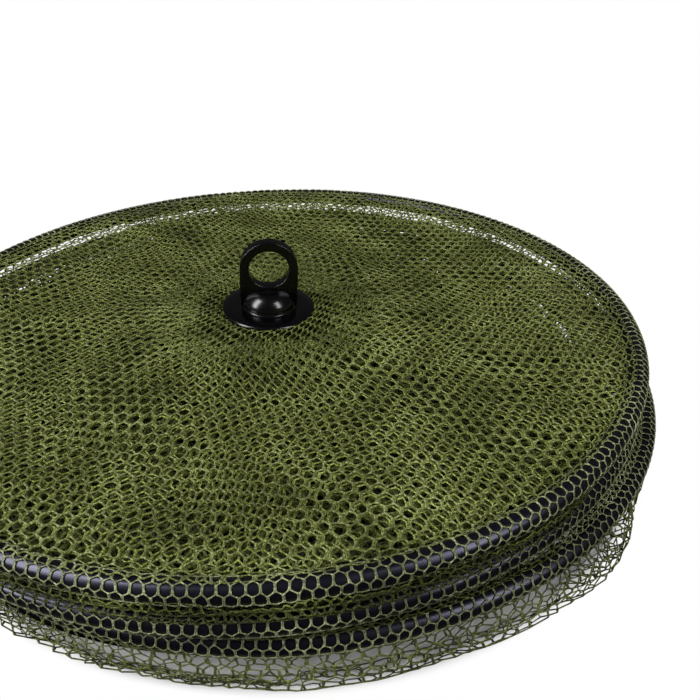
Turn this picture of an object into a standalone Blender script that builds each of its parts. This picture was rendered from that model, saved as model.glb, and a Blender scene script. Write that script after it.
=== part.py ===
"""A collapsed keep net lying base end up.

Three tube hoops lie on each other with the net walls folded between them. A mesh end panel
closes the top hoop and carries a moulded eye at its middle. The mouth ring lies at the bottom,
and its block holds a tilting stud for a bank stick.
"""

import math

import bmesh
import bpy
from mathutils import Matrix, Vector

# Driving dimensions, in metres

CLEARANCE = 0.0003  # between pieces that touch
OVERRUN = 0.002  # how far a cutter runs past the face that it cuts
MERGE_DISTANCE = 0.00001

HOOP_RADIUS = 0.2438  # centreline of each of the three hoops
HOOP_TUBE_RADIUS = 0.0058
HOOP_TUBE_WALL = 0.0016
HOOP_SPACING = 0.0205  # between the middles of two hoops that lie on each other
HOOP_JOINT_SLIT = 0.0006  # between the two ends of a hoop's tube
PLUG_LENGTH = 0.070  # plug that joins the two ends of a hoop's tube

HOOP_2_RIGHT = -0.001  # how far the hoops and the mouth lie beside the top hoop
HOOP_2_BACK = 0.0005
HOOP_3_RIGHT = 0.0145
HOOP_3_BACK = 0.0045
MOUTH_RIGHT = -0.010
MOUTH_BACK = 0.012

MOUTH_INSET = 0.0188  # how much smaller the mouth ring's centreline radius is
MOUTH_TUBE_RADIUS = 0.0062
MOUTH_TO_HOOP = 0.0282  # between the middles of the mouth ring and the lowest hoop
MOUTH_SLIT = 0.004  # between the two ends of the mouth ring, inside the block

STAND_RIGHT = -0.0090  # top hoop's middle from the middle of the whole part's outline
STAND_BACK = -0.0215

EYE_RISE = 0.0080  # eye's flange above the middle of the top hoop's tube
FLANGE_RADIUS = 0.03125
FLANGE_EDGE = 0.0024
FLANGE_HUB = 0.0034  # the flange's thickness at the foot of the dome
FOOT_RADIUS = 0.0190
FOOT_STEP = 0.0012
DOME_RADIUS = 0.0175
DOME_HEIGHT = 0.0124
EYE_DEPTH = 0.0080
EYE_BAR = 0.0060
EYE_HOLE_RADIUS = 0.0133
EYE_HOLE_HEIGHT = 0.0312  # hole's middle above the flange's underside
EYE_ROUNDING = 0.0016

BACKING_RADIUS = 0.0270
BACKING_THICKNESS = 0.0026
BASE_SCREW_RADIUS = 0.0025
BASE_SCREW_HEAD_RADIUS = 0.0048
BASE_SCREW_HEAD_HEIGHT = 0.0028
BASE_SCREW_GRIP = 0.0100  # how far the screw goes into the dome

PANEL_THICKNESS = 0.0016
PANEL_CELL = 0.0325  # from one cell's middle to the next
PANEL_STRAND = 0.0030
PANEL_BAND = 0.0040  # solid band at the panel's rim and round the flange
PANEL_SAG = 0.0045
PANEL_PINCH = 0.0120  # how far the cells are drawn in towards the eye

FOLD_RADIUS = 0.0660  # inner edge of the folded net walls
FOLD_THICKNESS = 0.0050
ROLL_WIDTH = 0.0055  # half the width of the net rolled up between two hoops
SKIRT_BULGE = 0.0075  # the lowest wall's slack beyond the hoop, at the front right
SKIRT_SLACK = 0.0015  # the same all round
SKIRT_FLOOR_GAP = 0.0010

BLOCK_LENGTH = 0.0460
BLOCK_WALL = 0.0050
BLOCK_ROUNDING = 0.0012
EAR_RADIUS = 0.0095
EAR_THICKNESS = 0.0060
EAR_LIFT = 0.0018  # ear above what the block rests on
TONGUE_WIDTH = 0.0110
TONGUE_RADIUS = 0.0085
COLLAR_RADIUS = 0.0085
COLLAR_THICKNESS = 0.0050
ARM_NECK = 0.0016  # between the ear's round end and the collar
STUD_RADIUS = 0.00476  # 3/8 inch stud
STUD_LENGTH = 0.0143  # outside the collar
STUD_CHAMFER = 0.0010
STUD_SEAT_DEPTH = 0.0012  # pocket in the collar that the thread's end sits in
STUD_SHANK_RADIUS = 0.0035
STUD_SHANK_LENGTH = 0.0060
BOLT_RADIUS = 0.0025
BOLT_HEAD_RADIUS = 0.0045
BOLT_HEAD_HEIGHT = 0.0030
KNOB_RADIUS = 0.0092
KNOB_LOBE = 0.0010
KNOB_THICKNESS = 0.0085
KNOB_CAP = 0.0020  # closed end over the bolt
RING_SCREW_RADIUS = 0.0015
RING_SCREW_HEAD_RADIUS = 0.0030
RING_SCREW_HEAD_HEIGHT = 0.0020
RING_SCREW_SPACING = 0.0260

# Counts and shares

RING_STEPS = 60
TUBE_SIDES = 10  # gives the tubes a narrow flat underneath
TURN_STEPS = 32
SMALL_TURN_STEPS = 16
WALL_STEPS = 48
ARC_STEPS = 8
ROLL_STEPS = 4
KNOB_LOBES = 6
JOINT_ANGLES = (math.radians(75), math.radians(105), math.radians(60))
BULGE_ANGLE = math.radians(-38)
BULGE_WIDTH = math.radians(32)
SHARP_ANGLE = math.radians(35)
BLOCK_ANGLE = math.radians(90)


def clear_scene():
    for obj in list(bpy.data.objects):
        bpy.data.objects.remove(obj)


def new_collection(name):
    collection = bpy.data.collections.new(name)
    bpy.context.scene.collection.children.link(collection)
    return collection


def make_material(name, colour, roughness, metallic=0.0):
    material = bpy.data.materials.new(name)
    material.use_nodes = True
    shader = material.node_tree.nodes["Principled BSDF"]
    shader.inputs["Base Color"].default_value = (*colour, 1.0)
    shader.inputs["Roughness"].default_value = roughness
    shader.inputs["Metallic"].default_value = metallic
    material.diffuse_color = (*colour, 1.0)
    return material


clear_scene()
parts = new_collection("keep_net")
cutters = new_collection("keep_net_cutters")

black_moulding = make_material("black_moulding", (0.012, 0.012, 0.014), 0.25)
black_tube = make_material("black_tube", (0.014, 0.014, 0.016), 0.3)
olive_net = make_material("olive_net", (0.10, 0.14, 0.03), 0.7)
plated_steel = make_material("plated_steel", (0.55, 0.55, 0.56), 0.3, 1.0)
brass = make_material("brass", (0.62, 0.45, 0.18), 0.3, 1.0)


def as_part(obj, name, material):
    """Puts an object among the parts under its own name."""
    obj.name = name
    obj.data.name = name
    obj.data.materials.clear()
    obj.data.materials.append(material)
    for collection in list(obj.users_collection):
        collection.objects.unlink(obj)
    parts.objects.link(obj)
    if obj.type == "MESH":
        obj.data.shade_smooth()
        obj.data.set_sharp_from_angle(angle=SHARP_ANGLE)
    return obj


def as_cutter(obj, name):
    """Puts an object among the cutters and guides, which aren't parts."""
    obj.name = name
    for collection in list(obj.users_collection):
        collection.objects.unlink(obj)
    cutters.objects.link(obj)
    obj.hide_render = True
    obj.display_type = "WIRE"
    return obj


def combine(obj, other, operation):
    boolean = obj.modifiers.new(operation.title(), "BOOLEAN")
    boolean.object = other
    boolean.operation = operation
    boolean.solver = "EXACT"


def cut(obj, cutter):
    combine(obj, cutter, "DIFFERENCE")


def join(obj, other):
    combine(obj, other, "UNION")


def new_mesh_object(name, mesh):
    obj = bpy.data.objects.new(name, mesh)
    bpy.context.scene.collection.objects.link(obj)
    return obj


def frozen(obj):
    """A new mesh object with the evaluated shape of obj, which is removed."""
    bpy.context.view_layer.update()
    depsgraph = bpy.context.evaluated_depsgraph_get()
    mesh = bpy.data.meshes.new_from_object(obj.evaluated_get(depsgraph))
    shape = bmesh.new()
    shape.from_mesh(mesh)
    bmesh.ops.remove_doubles(shape, verts=shape.verts, dist=MERGE_DISTANCE)
    shape.to_mesh(mesh)
    shape.free()
    name = obj.name
    obj.name = name + "_raw"
    made = new_mesh_object(name, mesh)
    made.matrix_world = obj.matrix_world
    bpy.data.objects.remove(obj)
    return made


def turned(name, profile, steps, closed=False):
    """A profile of (radius, height) points turned about Z. Its outer side runs downwards."""
    mesh = bpy.data.meshes.new(name)
    edges = [(i, i + 1) for i in range(len(profile) - 1)]
    if closed:
        edges.append((len(profile) - 1, 0))
    mesh.from_pydata([(radius, 0.0, height) for radius, height in profile], edges, [])
    obj = new_mesh_object(name, mesh)
    screw = obj.modifiers.new("Turn", "SCREW")
    screw.axis = "Z"
    screw.angle = 2 * math.pi
    screw.steps = steps
    screw.render_steps = steps
    screw.use_merge_vertices = True
    screw.merge_threshold = MERGE_DISTANCE
    return obj


def arc(centre_x, centre_y, radius, start, stop, steps=ARC_STEPS):
    """Points on an arc from the start angle to the stop angle, ends included."""
    angles = [start + (stop - start) * i / steps for i in range(steps + 1)]
    return [
        (centre_x + radius * math.cos(angle), centre_y + radius * math.sin(angle))
        for angle in angles
    ]


def slab(name, outlines, thickness, rounding):
    """Flat outlines in XY, extruded to the thickness along Z, with rounded edges."""
    curve = bpy.data.curves.new(name, "CURVE")
    curve.dimensions = "2D"
    curve.fill_mode = "BOTH"
    curve.extrude = thickness / 2 - rounding
    curve.bevel_depth = rounding
    curve.offset = -rounding
    curve.bevel_resolution = 1
    for outline in outlines:
        spline = curve.splines.new("POLY")
        spline.points.add(len(outline) - 1)
        for point, (x, y) in zip(spline.points, outline):
            point.co = (x, y, 0.0, 1.0)
        spline.use_cyclic_u = True
    obj = bpy.data.objects.new(name, curve)
    bpy.context.scene.collection.objects.link(obj)
    return frozen(obj)


def rod(name, radius, start, stop):
    """A round rod between two points, as a cutter."""
    middle = (start + stop) / 2
    along = stop - start
    bpy.ops.mesh.primitive_cylinder_add(
        vertices=SMALL_TURN_STEPS, radius=radius, depth=along.length, location=middle
    )
    obj = bpy.context.object
    obj.rotation_euler = along.to_track_quat("Z", "Y").to_euler()
    return as_cutter(obj, name)


def box(name, low, high, turn=0.0):
    """A box between two corners, turned about Z at its middle, as a cutter."""
    size = high - low
    bpy.ops.mesh.primitive_cube_add(size=1.0, location=(low + high) / 2)
    obj = bpy.context.object
    obj.scale = size
    bpy.ops.object.transform_apply(location=False, rotation=False, scale=True)
    obj.rotation_euler = (0.0, 0.0, turn)
    return as_cutter(obj, name)


# Where the rings lie

tube_flat_share = math.cos(math.pi / TUBE_SIDES)
mouth_height = MOUTH_TUBE_RADIUS * tube_flat_share
mouth = {
    "centre": Vector((STAND_RIGHT + MOUTH_RIGHT, STAND_BACK + MOUTH_BACK, mouth_height)),
    "radius": HOOP_RADIUS - MOUTH_INSET,
    "tube": MOUTH_TUBE_RADIUS,
}
hoop_shifts = ((0.0, 0.0), (HOOP_2_RIGHT, HOOP_2_BACK), (HOOP_3_RIGHT, HOOP_3_BACK))
lowest_hoop_height = mouth_height + MOUTH_TO_HOOP
hoops = []
for index, (right, back) in enumerate(hoop_shifts):
    height = lowest_hoop_height + HOOP_SPACING * (len(hoop_shifts) - 1 - index)
    hoops.append(
        {
            "centre": Vector((STAND_RIGHT + right, STAND_BACK + back, height)),
            "radius": HOOP_RADIUS,
            "tube": HOOP_TUBE_RADIUS,
        }
    )


def outward(angle):
    return Vector((math.cos(angle), math.sin(angle), 0.0))


def on_ring(ring, angle, out=0.0):
    """The point of a ring's centreline at an angle, moved outwards."""
    return ring["centre"] + outward(angle) * (ring["radius"] + out)


def ring_tube(ring):
    bpy.ops.mesh.primitive_torus_add(
        location=ring["centre"],
        major_segments=RING_STEPS,
        minor_segments=TUBE_SIDES,
        major_radius=ring["radius"],
        minor_radius=ring["tube"],
    )
    return bpy.context.object


def arc_rod(name, ring, rod_radius, middle_angle, length):
    """A rod bent along a stretch of the ring."""
    half_angle = length / 2 / ring["radius"]
    curve = bpy.data.curves.new(name, "CURVE")
    curve.dimensions = "3D"
    curve.bevel_depth = rod_radius
    curve.bevel_resolution = 3
    curve.use_fill_caps = True
    spline = curve.splines.new("POLY")
    spline.points.add(ARC_STEPS)
    for i, point in enumerate(spline.points):
        angle = middle_angle + half_angle * (2 * i / ARC_STEPS - 1)
        point.co = (*outward(angle) * ring["radius"], 1.0)
    obj = bpy.data.objects.new(name, curve)
    bpy.context.scene.collection.objects.link(obj)
    obj.location = ring["centre"]
    return frozen(obj)


def slit_cutter(name, ring, angle, width):
    """A thin box that cuts right through the ring's tube at an angle."""
    reach = ring["tube"] + OVERRUN
    middle = on_ring(ring, angle)
    half = Vector((reach, width / 2, reach))
    return box(name, middle - half, middle + half, turn=angle)


# Hoops: a tube bent to a ring, its two ends joined over a plug


def make_hoop(number, ring, joint_angle):
    hoop = as_part(ring_tube(ring), f"hoop_{number}", black_tube)
    bore_radius = ring["tube"] - HOOP_TUBE_WALL
    bore = arc_rod(f"hoop_bore_{number}", ring, bore_radius, joint_angle, PLUG_LENGTH)
    slit = slit_cutter(f"hoop_slit_{number}", ring, joint_angle, HOOP_JOINT_SLIT)
    cut(hoop, as_cutter(bore, bore.name))
    cut(hoop, slit)
    plug_radius = bore_radius - CLEARANCE
    plug_length = PLUG_LENGTH - 2 * CLEARANCE
    plug = arc_rod(f"hoop_plug_{number}", ring, plug_radius, joint_angle, plug_length)
    as_part(plug, plug.name, black_moulding)


# End panel: a mesh of six-sided cells with a solid band at its rim and at the eye

panel_seat_angle = math.radians(50)
panel_seat = HOOP_TUBE_RADIUS + CLEARANCE
panel_rim_radius = HOOP_RADIUS - panel_seat * math.cos(panel_seat_angle)
panel_rim_height = panel_seat * math.sin(panel_seat_angle)
panel_hub_radius = FLANGE_RADIUS + PANEL_BAND
panel_hub_height = EYE_RISE - CLEARANCE - PANEL_THICKNESS
net_zone_radius = panel_rim_radius - PANEL_BAND


def cell_centres():
    """Middles of the cells that lie at least half between the two bands."""
    row_step = PANEL_CELL * math.sin(math.radians(60))
    rows = math.ceil(net_zone_radius / row_step)
    columns = math.ceil(net_zone_radius / PANEL_CELL) + 1
    least_part = PANEL_CELL / 10
    for row in range(-rows, rows + 1):
        shift_share = 0.5 if row % 2 else 0.0
        for column in range(-columns, columns + 1):
            middle = Vector(((column + shift_share) * PANEL_CELL, row * row_step, 0.0))
            if panel_hub_radius + least_part < middle.length < net_zone_radius - least_part:
                yield middle


def cell_cutters():
    """All the cell openings as six-sided prisms, kept off the two bands."""
    opening_radius = (PANEL_CELL - PANEL_STRAND) / 2 / math.cos(math.radians(30))
    shape = bmesh.new()
    for middle in cell_centres():
        made = bmesh.ops.create_cone(
            shape,
            cap_ends=True,
            segments=6,
            radius1=opening_radius,
            radius2=opening_radius,
            depth=PANEL_THICKNESS + 2 * OVERRUN,
        )
        bmesh.ops.translate(shape, verts=made["verts"], vec=middle)
    mesh = bpy.data.meshes.new("panel_cells")
    shape.to_mesh(mesh)
    shape.free()
    cells = as_cutter(new_mesh_object("panel_cells", mesh), "panel_cells")
    zone_half = PANEL_THICKNESS / 2 + 2 * OVERRUN
    zone_profile = [
        (panel_hub_radius, zone_half),
        (net_zone_radius, zone_half),
        (net_zone_radius, -zone_half),
        (panel_hub_radius, -zone_half),
    ]
    zone = turned("panel_zone", zone_profile, RING_STEPS, closed=True)
    combine(cells, as_cutter(zone, "panel_zone"), "INTERSECT")
    return cells


def panel_height(share):
    """The panel's underside above the hoop's middle, from the eye at 0 to the rim at 1."""
    level = panel_hub_height + (panel_rim_height - panel_hub_height) * share
    return level - PANEL_SAG * math.sin(math.pi * share) ** 2


def make_panel():
    bpy.ops.mesh.primitive_cylinder_add(
        vertices=RING_STEPS, radius=panel_rim_radius, depth=PANEL_THICKNESS
    )
    flat = bpy.context.object
    cut(flat, cell_cutters())
    screw_hole = BASE_SCREW_RADIUS + CLEARANCE
    reach = Vector((0.0, 0.0, PANEL_THICKNESS + OVERRUN))
    cut(flat, rod("panel_screw_hole", screw_hole, -reach, reach))
    panel = frozen(flat)
    shape = bmesh.new()
    shape.from_mesh(panel.data)
    bmesh.ops.triangulate(shape, faces=shape.faces)
    span = panel_rim_radius - panel_hub_radius
    for vert in shape.verts:
        flat_radius = vert.co.xy.length
        share = min(max((flat_radius - panel_hub_radius) / span, 0.0), 1.0)
        drawn_in = PANEL_PINCH * math.sin(math.pi * share) ** 2
        scale = (flat_radius - drawn_in) / flat_radius
        vert.co.x *= scale
        vert.co.y *= scale
        vert.co.z += PANEL_THICKNESS / 2 + panel_height(share)
    shape.to_mesh(panel.data)
    shape.free()
    panel.location = hoops[0]["centre"]
    as_part(panel, "base_panel_net", olive_net)


# Eye: a flange and dome with an upright eye, clamped to the panel by a disc and a screw


def make_base_fitting():
    flange_bottom = hoops[0]["centre"] + Vector((0.0, 0.0, EYE_RISE))
    dome_foot = FLANGE_HUB + FOOT_STEP
    dome = [
        (DOME_RADIUS * math.sin(a), dome_foot + DOME_HEIGHT * math.cos(a))
        for a in (math.pi / 2 * i / ARC_STEPS for i in range(ARC_STEPS + 1))
    ]
    edge_rounding = FLANGE_EDGE / 3
    profile = dome + [
        (FOOT_RADIUS, dome_foot - FOOT_STEP / 3),
        (FOOT_RADIUS, FLANGE_HUB),
        (FLANGE_RADIUS - edge_rounding, FLANGE_EDGE),
        (FLANGE_RADIUS, FLANGE_EDGE - edge_rounding),
        (FLANGE_RADIUS, edge_rounding),
        (FLANGE_RADIUS - edge_rounding, 0.0),
        (0.0, 0.0),
    ]
    moulding = turned("base_eye", profile, TURN_STEPS)
    moulding.location = flange_bottom
    as_part(moulding, "base_eye", black_moulding)

    bar_radius = EYE_HOLE_RADIUS + EYE_BAR
    foot = FLANGE_EDGE / 2
    outline = [(bar_radius, foot)]
    outline += arc(0.0, EYE_HOLE_HEIGHT, bar_radius, 0.0, math.pi, 2 * ARC_STEPS)
    outline += [(-bar_radius, foot)]
    hole = arc(0.0, EYE_HOLE_HEIGHT, EYE_HOLE_RADIUS, 0.0, 2 * math.pi, 2 * ARC_STEPS)[:-1]
    eye = slab("base_eye_bar", [outline, hole], EYE_DEPTH, EYE_ROUNDING)
    eye.rotation_euler = (math.radians(90), 0.0, 0.0)
    eye.location = flange_bottom
    join(moulding, as_cutter(eye, "base_eye_bar"))

    up = Vector((0.0, 0.0, 1.0))
    screw_hole = BASE_SCREW_RADIUS + CLEARANCE
    hole_top = flange_bottom + up * (BASE_SCREW_GRIP + CLEARANCE)
    below = flange_bottom - up * OVERRUN
    cut(moulding, rod("base_eye_screw_hole", screw_hole, below, hole_top))

    disc_top = -2 * CLEARANCE - PANEL_THICKNESS
    disc_bottom = disc_top - BACKING_THICKNESS
    disc_edge = BACKING_THICKNESS / 3
    disc_profile = [
        (screw_hole, disc_top),
        (BACKING_RADIUS, disc_top),
        (BACKING_RADIUS, disc_bottom + disc_edge),
        (BACKING_RADIUS - disc_edge, disc_bottom),
        (screw_hole, disc_bottom),
    ]
    disc = turned("backing_disc", disc_profile, TURN_STEPS, closed=True)
    disc.location = flange_bottom
    as_part(disc, "backing_disc", black_moulding)

    head_top = disc_bottom - CLEARANCE
    head_bottom = head_top - BASE_SCREW_HEAD_HEIGHT
    head_edge = BASE_SCREW_HEAD_HEIGHT / 3
    screw_profile = [
        (0.0, BASE_SCREW_GRIP),
        (BASE_SCREW_RADIUS, BASE_SCREW_GRIP - BASE_SCREW_RADIUS / 2),
        (BASE_SCREW_RADIUS, head_top),
        (BASE_SCREW_HEAD_RADIUS, head_top),
        (BASE_SCREW_HEAD_RADIUS, head_bottom + head_edge),
        (BASE_SCREW_HEAD_RADIUS - head_edge, head_bottom),
        (0.0, head_bottom),
    ]
    screw = turned("base_screw", screw_profile, SMALL_TURN_STEPS)
    screw.location = flange_bottom
    as_part(screw, "base_screw", plated_steel)


# Net walls: each wall is folded in between two rings, with a roll of net at its outer edge


def lofted_ring(name, section, steps):
    """A closed ring through the sections, whose points run down their outer side."""
    shape = bmesh.new()
    rows = []
    for step in range(steps):
        angle = 2 * math.pi * step / steps
        rows.append([shape.verts.new(point) for point in section(angle)])
    for row, next_row in zip(rows, rows[1:] + rows[:1]):
        for i in range(len(row)):
            after = (i + 1) % len(row)
            shape.faces.new((row[i], row[after], next_row[after], next_row[i]))
    bmesh.ops.recalc_face_normals(shape, faces=shape.faces)
    mesh = bpy.data.meshes.new(name)
    shape.to_mesh(mesh)
    shape.free()
    return new_mesh_object(name, mesh)


def fold_points(upper, lower, angle, height):
    """The folded leaves of a wall in section: inwards below, round the inner edge, and back above."""
    inner = (upper["centre"] + lower["centre"]) / 2 + outward(angle) * FOLD_RADIUS
    outer = (on_ring(upper, angle) + on_ring(lower, angle)) / 2 - outward(angle) * ROLL_WIDTH
    inner.z = height
    outer.z = height
    half = FOLD_THICKNESS / 2
    up = Vector((0.0, 0.0, half))
    middle = (inner + outer) / 2
    nose = inner - outward(angle) * half
    slim_share = 0.6
    below = [outer - up * slim_share, middle - up, inner - up * slim_share]
    above = [inner + up * slim_share, middle + up, outer + up * slim_share]
    return below + [nose] + above


def wall_section(upper, lower):
    """The section of a wall between two hoops that lie on each other."""

    def section(angle):
        middle = (on_ring(upper, angle) + on_ring(lower, angle)) / 2
        space = upper["centre"].z - lower["centre"].z
        half = space / 2 - HOOP_TUBE_RADIUS * tube_flat_share - CLEARANCE
        up = Vector((0.0, 0.0, half))
        roll = [
            middle + outward(angle) * ROLL_WIDTH * math.cos(turn) + up * math.sin(turn)
            for turn in (math.pi * (0.5 - i / ROLL_STEPS) for i in range(ROLL_STEPS + 1))
        ]
        return roll + fold_points(upper, lower, angle, middle.z)

    return section


def slack_at(angle):
    """How far the lowest wall bulges beyond the rings at an angle."""
    away = (angle - BULGE_ANGLE + math.pi) % (2 * math.pi) - math.pi
    return SKIRT_SLACK + SKIRT_BULGE * math.exp(-((away / BULGE_WIDTH) ** 2))


def skirt_section(upper, lower):
    """The section of the lowest wall, which hangs outside the mouth ring to the floor."""
    top = upper["centre"].z - upper["tube"] * tube_flat_share - CLEARANCE
    ring_top = lower["centre"].z + lower["tube"] * tube_flat_share + CLEARANCE
    outer_shares = ((0.35, 0.98), (0.85, 0.80), (1.0, 0.45), (0.9, 0.15), (0.5, 0.0), (0.0, 0.15))
    chord_share = math.cos(math.pi / WALL_STEPS)

    def section(angle):
        direction = outward(angle)
        hoop_edge = on_ring(upper, angle, upper["tube"])
        ring_edge = on_ring(lower, angle, lower["tube"] + CLEARANCE)
        hoop_reach = (hoop_edge - lower["centre"]).dot(direction)
        ring_reach = (ring_edge - lower["centre"]).dot(direction) / chord_share
        reach = max(hoop_reach, ring_reach) + slack_at(angle)
        inner_reach = lower["radius"]

        def at(radius, height):
            point = lower["centre"] + direction * radius
            point.z = height
            return point

        points = [at(inner_reach, top)]
        for out_share, height_share in outer_shares:
            radius = ring_reach + (reach - ring_reach) * out_share
            height = SKIRT_FLOOR_GAP + (top - SKIRT_FLOOR_GAP) * height_share
            points.append(at(radius, height))
        points.append(at(ring_reach, ring_top))
        return points + fold_points(upper, lower, angle, (top + ring_top) / 2)

    return section


def make_walls(spaces):
    for number, (upper, lower) in enumerate(zip(hoops, hoops[1:]), start=1):
        name = f"wall_net_{number}"
        as_part(lofted_ring(name, wall_section(upper, lower), WALL_STEPS), name, olive_net)
    name = f"wall_net_{len(hoops)}"
    skirt = lofted_ring(name, skirt_section(hoops[-1], mouth), WALL_STEPS)
    as_part(skirt, name, olive_net)
    for space in spaces:
        cut(skirt, space)


# Mouth ring, whose two ends meet inside the block

block_reach = MOUTH_TUBE_RADIUS + BLOCK_WALL  # from the tube's middle to the block's faces
block_top = EAR_LIFT + 2 * EAR_RADIUS
pivot_reach = block_reach + TONGUE_RADIUS + EAR_RADIUS / 2
block_place = on_ring(mouth, BLOCK_ANGLE)
block_place.z = 0.0
pivot = block_place + Vector((0.0, pivot_reach, EAR_LIFT + EAR_RADIUS))
ear_span = TONGUE_WIDTH + 2 * (CLEARANCE + EAR_THICKNESS)
side_view = (math.radians(90), 0.0, math.radians(90))  # stands an XY outline up in YZ


def screw_places():
    """Where the two screws go down through the block into the ring's ends."""
    for side in (-1, 1):
        place = on_ring(mouth, BLOCK_ANGLE + side * RING_SCREW_SPACING / 2 / mouth["radius"])
        yield Vector((place.x, place.y, block_top - RING_SCREW_HEAD_HEIGHT - CLEARANCE))


screw_tip = block_top - RING_SCREW_HEAD_HEIGHT - mouth_height


def make_mouth_ring():
    ring = as_part(ring_tube(mouth), "mouth_ring", black_tube)
    cut(ring, slit_cutter("mouth_slit", mouth, BLOCK_ANGLE, MOUTH_SLIT))
    for side, place in zip(("left", "right"), screw_places()):
        bottom = place - Vector((0.0, 0.0, screw_tip + CLEARANCE))
        hole_radius = RING_SCREW_RADIUS + CLEARANCE
        cut(ring, rod(f"ring_hole_{side}", hole_radius, bottom, place))


def make_block():
    """A moulded saddle over the ring's ends, with two ears for the arm."""
    body_outline = [
        (-block_reach, 0.0),
        (block_reach, 0.0),
        (block_reach, block_top),
        (-block_reach, block_top),
    ]
    body = slab("block_body", [body_outline], BLOCK_LENGTH, BLOCK_ROUNDING)
    body.rotation_euler = side_view
    body.location = block_place
    as_part(body, "block_body", black_moulding)

    ear_outline = [(0.0, EAR_LIFT)]
    ear_outline += arc(
        pivot_reach, EAR_LIFT + EAR_RADIUS, EAR_RADIUS, -math.pi / 2, math.pi / 2
    )
    ear_outline += [(0.0, EAR_LIFT + 2 * EAR_RADIUS - BLOCK_ROUNDING)]
    ears = slab("block_ears", [ear_outline], ear_span, BLOCK_ROUNDING)
    ears.rotation_euler = side_view
    ears.location = block_place
    join(body, as_cutter(ears, "block_ears"))

    slot_half = TONGUE_WIDTH / 2 + CLEARANCE
    slot_start = pivot.y - TONGUE_RADIUS - CLEARANCE * 2
    slot_low = Vector((pivot.x - slot_half, slot_start, -OVERRUN))
    slot_high = Vector((pivot.x + slot_half, pivot.y + EAR_RADIUS + OVERRUN, block_top + OVERRUN))
    cut(body, box("block_slot", slot_low, slot_high))

    bore_radius = MOUTH_TUBE_RADIUS + CLEARANCE
    bore = arc_rod("block_bore", mouth, bore_radius, BLOCK_ANGLE, BLOCK_LENGTH + 2 * OVERRUN)
    cut(body, as_cutter(bore, "block_bore"))
    relief = Vector((BLOCK_LENGTH / 2 + OVERRUN, MOUTH_TUBE_RADIUS * 2 / 3, 0.0))
    relief_low = block_place - relief - Vector((0.0, 0.0, OVERRUN))
    relief_high = block_place + relief + Vector((0.0, 0.0, MOUTH_TUBE_RADIUS / 2))
    cut(body, box("block_relief", relief_low, relief_high))

    along = Vector((ear_span / 2 + OVERRUN, 0.0, 0.0))
    cut(body, rod("block_bolt_hole", BOLT_RADIUS + CLEARANCE, pivot - along, pivot + along))
    up = Vector((0.0, 0.0, 1.0))
    for side, place in zip(("left", "right"), screw_places()):
        shank_radius = RING_SCREW_RADIUS + CLEARANCE
        head_radius = RING_SCREW_HEAD_RADIUS + CLEARANCE
        head_top = place + up * (RING_SCREW_HEAD_HEIGHT + OVERRUN)
        bore_top = place - up * (screw_tip - MOUTH_TUBE_RADIUS / 2)
        cut(body, rod(f"block_shank_hole_{side}", shank_radius, bore_top, head_top))
        cut(body, rod(f"block_head_hole_{side}", head_radius, place - up * CLEARANCE, head_top))


def make_ring_screws():
    tip = -screw_tip
    head_edge = RING_SCREW_HEAD_HEIGHT / 3
    profile = [
        (0.0, RING_SCREW_HEAD_HEIGHT),
        (RING_SCREW_HEAD_RADIUS - head_edge, RING_SCREW_HEAD_HEIGHT),
        (RING_SCREW_HEAD_RADIUS, RING_SCREW_HEAD_HEIGHT - head_edge),
        (RING_SCREW_HEAD_RADIUS, 0.0),
        (RING_SCREW_RADIUS, 0.0),
        (RING_SCREW_RADIUS, tip + RING_SCREW_RADIUS / 2),
        (0.0, tip),
    ]
    for number, place in enumerate(screw_places(), start=1):
        screw = turned(f"ring_screw_{number}", profile, SMALL_TURN_STEPS)
        screw.location = place
        as_part(screw, screw.name, plated_steel)


# Tilting arm with the stud that screws into a bank stick

collar_start = EAR_RADIUS + ARM_NECK  # from the pivot
collar_face = collar_start + COLLAR_THICKNESS
neck_share = 0.75  # of the collar's radius, where the arm runs into it
outwards = (math.radians(-90), 0.0, 0.0)  # lays a turned piece's Z along +Y


def make_arm():
    outline = arc(0.0, 0.0, TONGUE_RADIUS, math.pi / 2, math.pi * 3 / 2)
    neck = COLLAR_RADIUS * neck_share
    outline += [
        (collar_start + COLLAR_THICKNESS / 2, -neck),
        (collar_start + COLLAR_THICKNESS / 2, neck),
    ]
    arm = slab("tilt_arm", [outline], TONGUE_WIDTH, BLOCK_ROUNDING)
    arm.rotation_euler = side_view
    arm.location = pivot
    as_part(arm, "tilt_arm", black_moulding)

    rounding = COLLAR_THICKNESS / 5
    profile = [
        (0.0, collar_face),
        (COLLAR_RADIUS - rounding, collar_face),
        (COLLAR_RADIUS, collar_face - rounding),
        (COLLAR_RADIUS, collar_start + rounding),
        (COLLAR_RADIUS - rounding, collar_start),
        (0.0, collar_start),
    ]
    collar = turned("arm_collar", profile, TURN_STEPS)
    collar.rotation_euler = outwards
    collar.location = pivot
    join(arm, as_cutter(collar, "arm_collar"))

    back = Vector((0.0, 1.0, 0.0))
    shank_end = pivot + back * (collar_face - STUD_SHANK_LENGTH - CLEARANCE)
    seat = pivot + back * (collar_face - STUD_SEAT_DEPTH)
    past_face = pivot + back * (collar_face + OVERRUN)
    cut(arm, rod("arm_stud_hole", STUD_SHANK_RADIUS + CLEARANCE, shank_end, past_face))
    cut(arm, rod("arm_stud_seat", STUD_RADIUS + CLEARANCE, seat, past_face))
    along = Vector((ear_span / 2, 0.0, 0.0))
    cut(arm, rod("arm_bolt_hole", BOLT_RADIUS + CLEARANCE, pivot - along, pivot + along))


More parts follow.
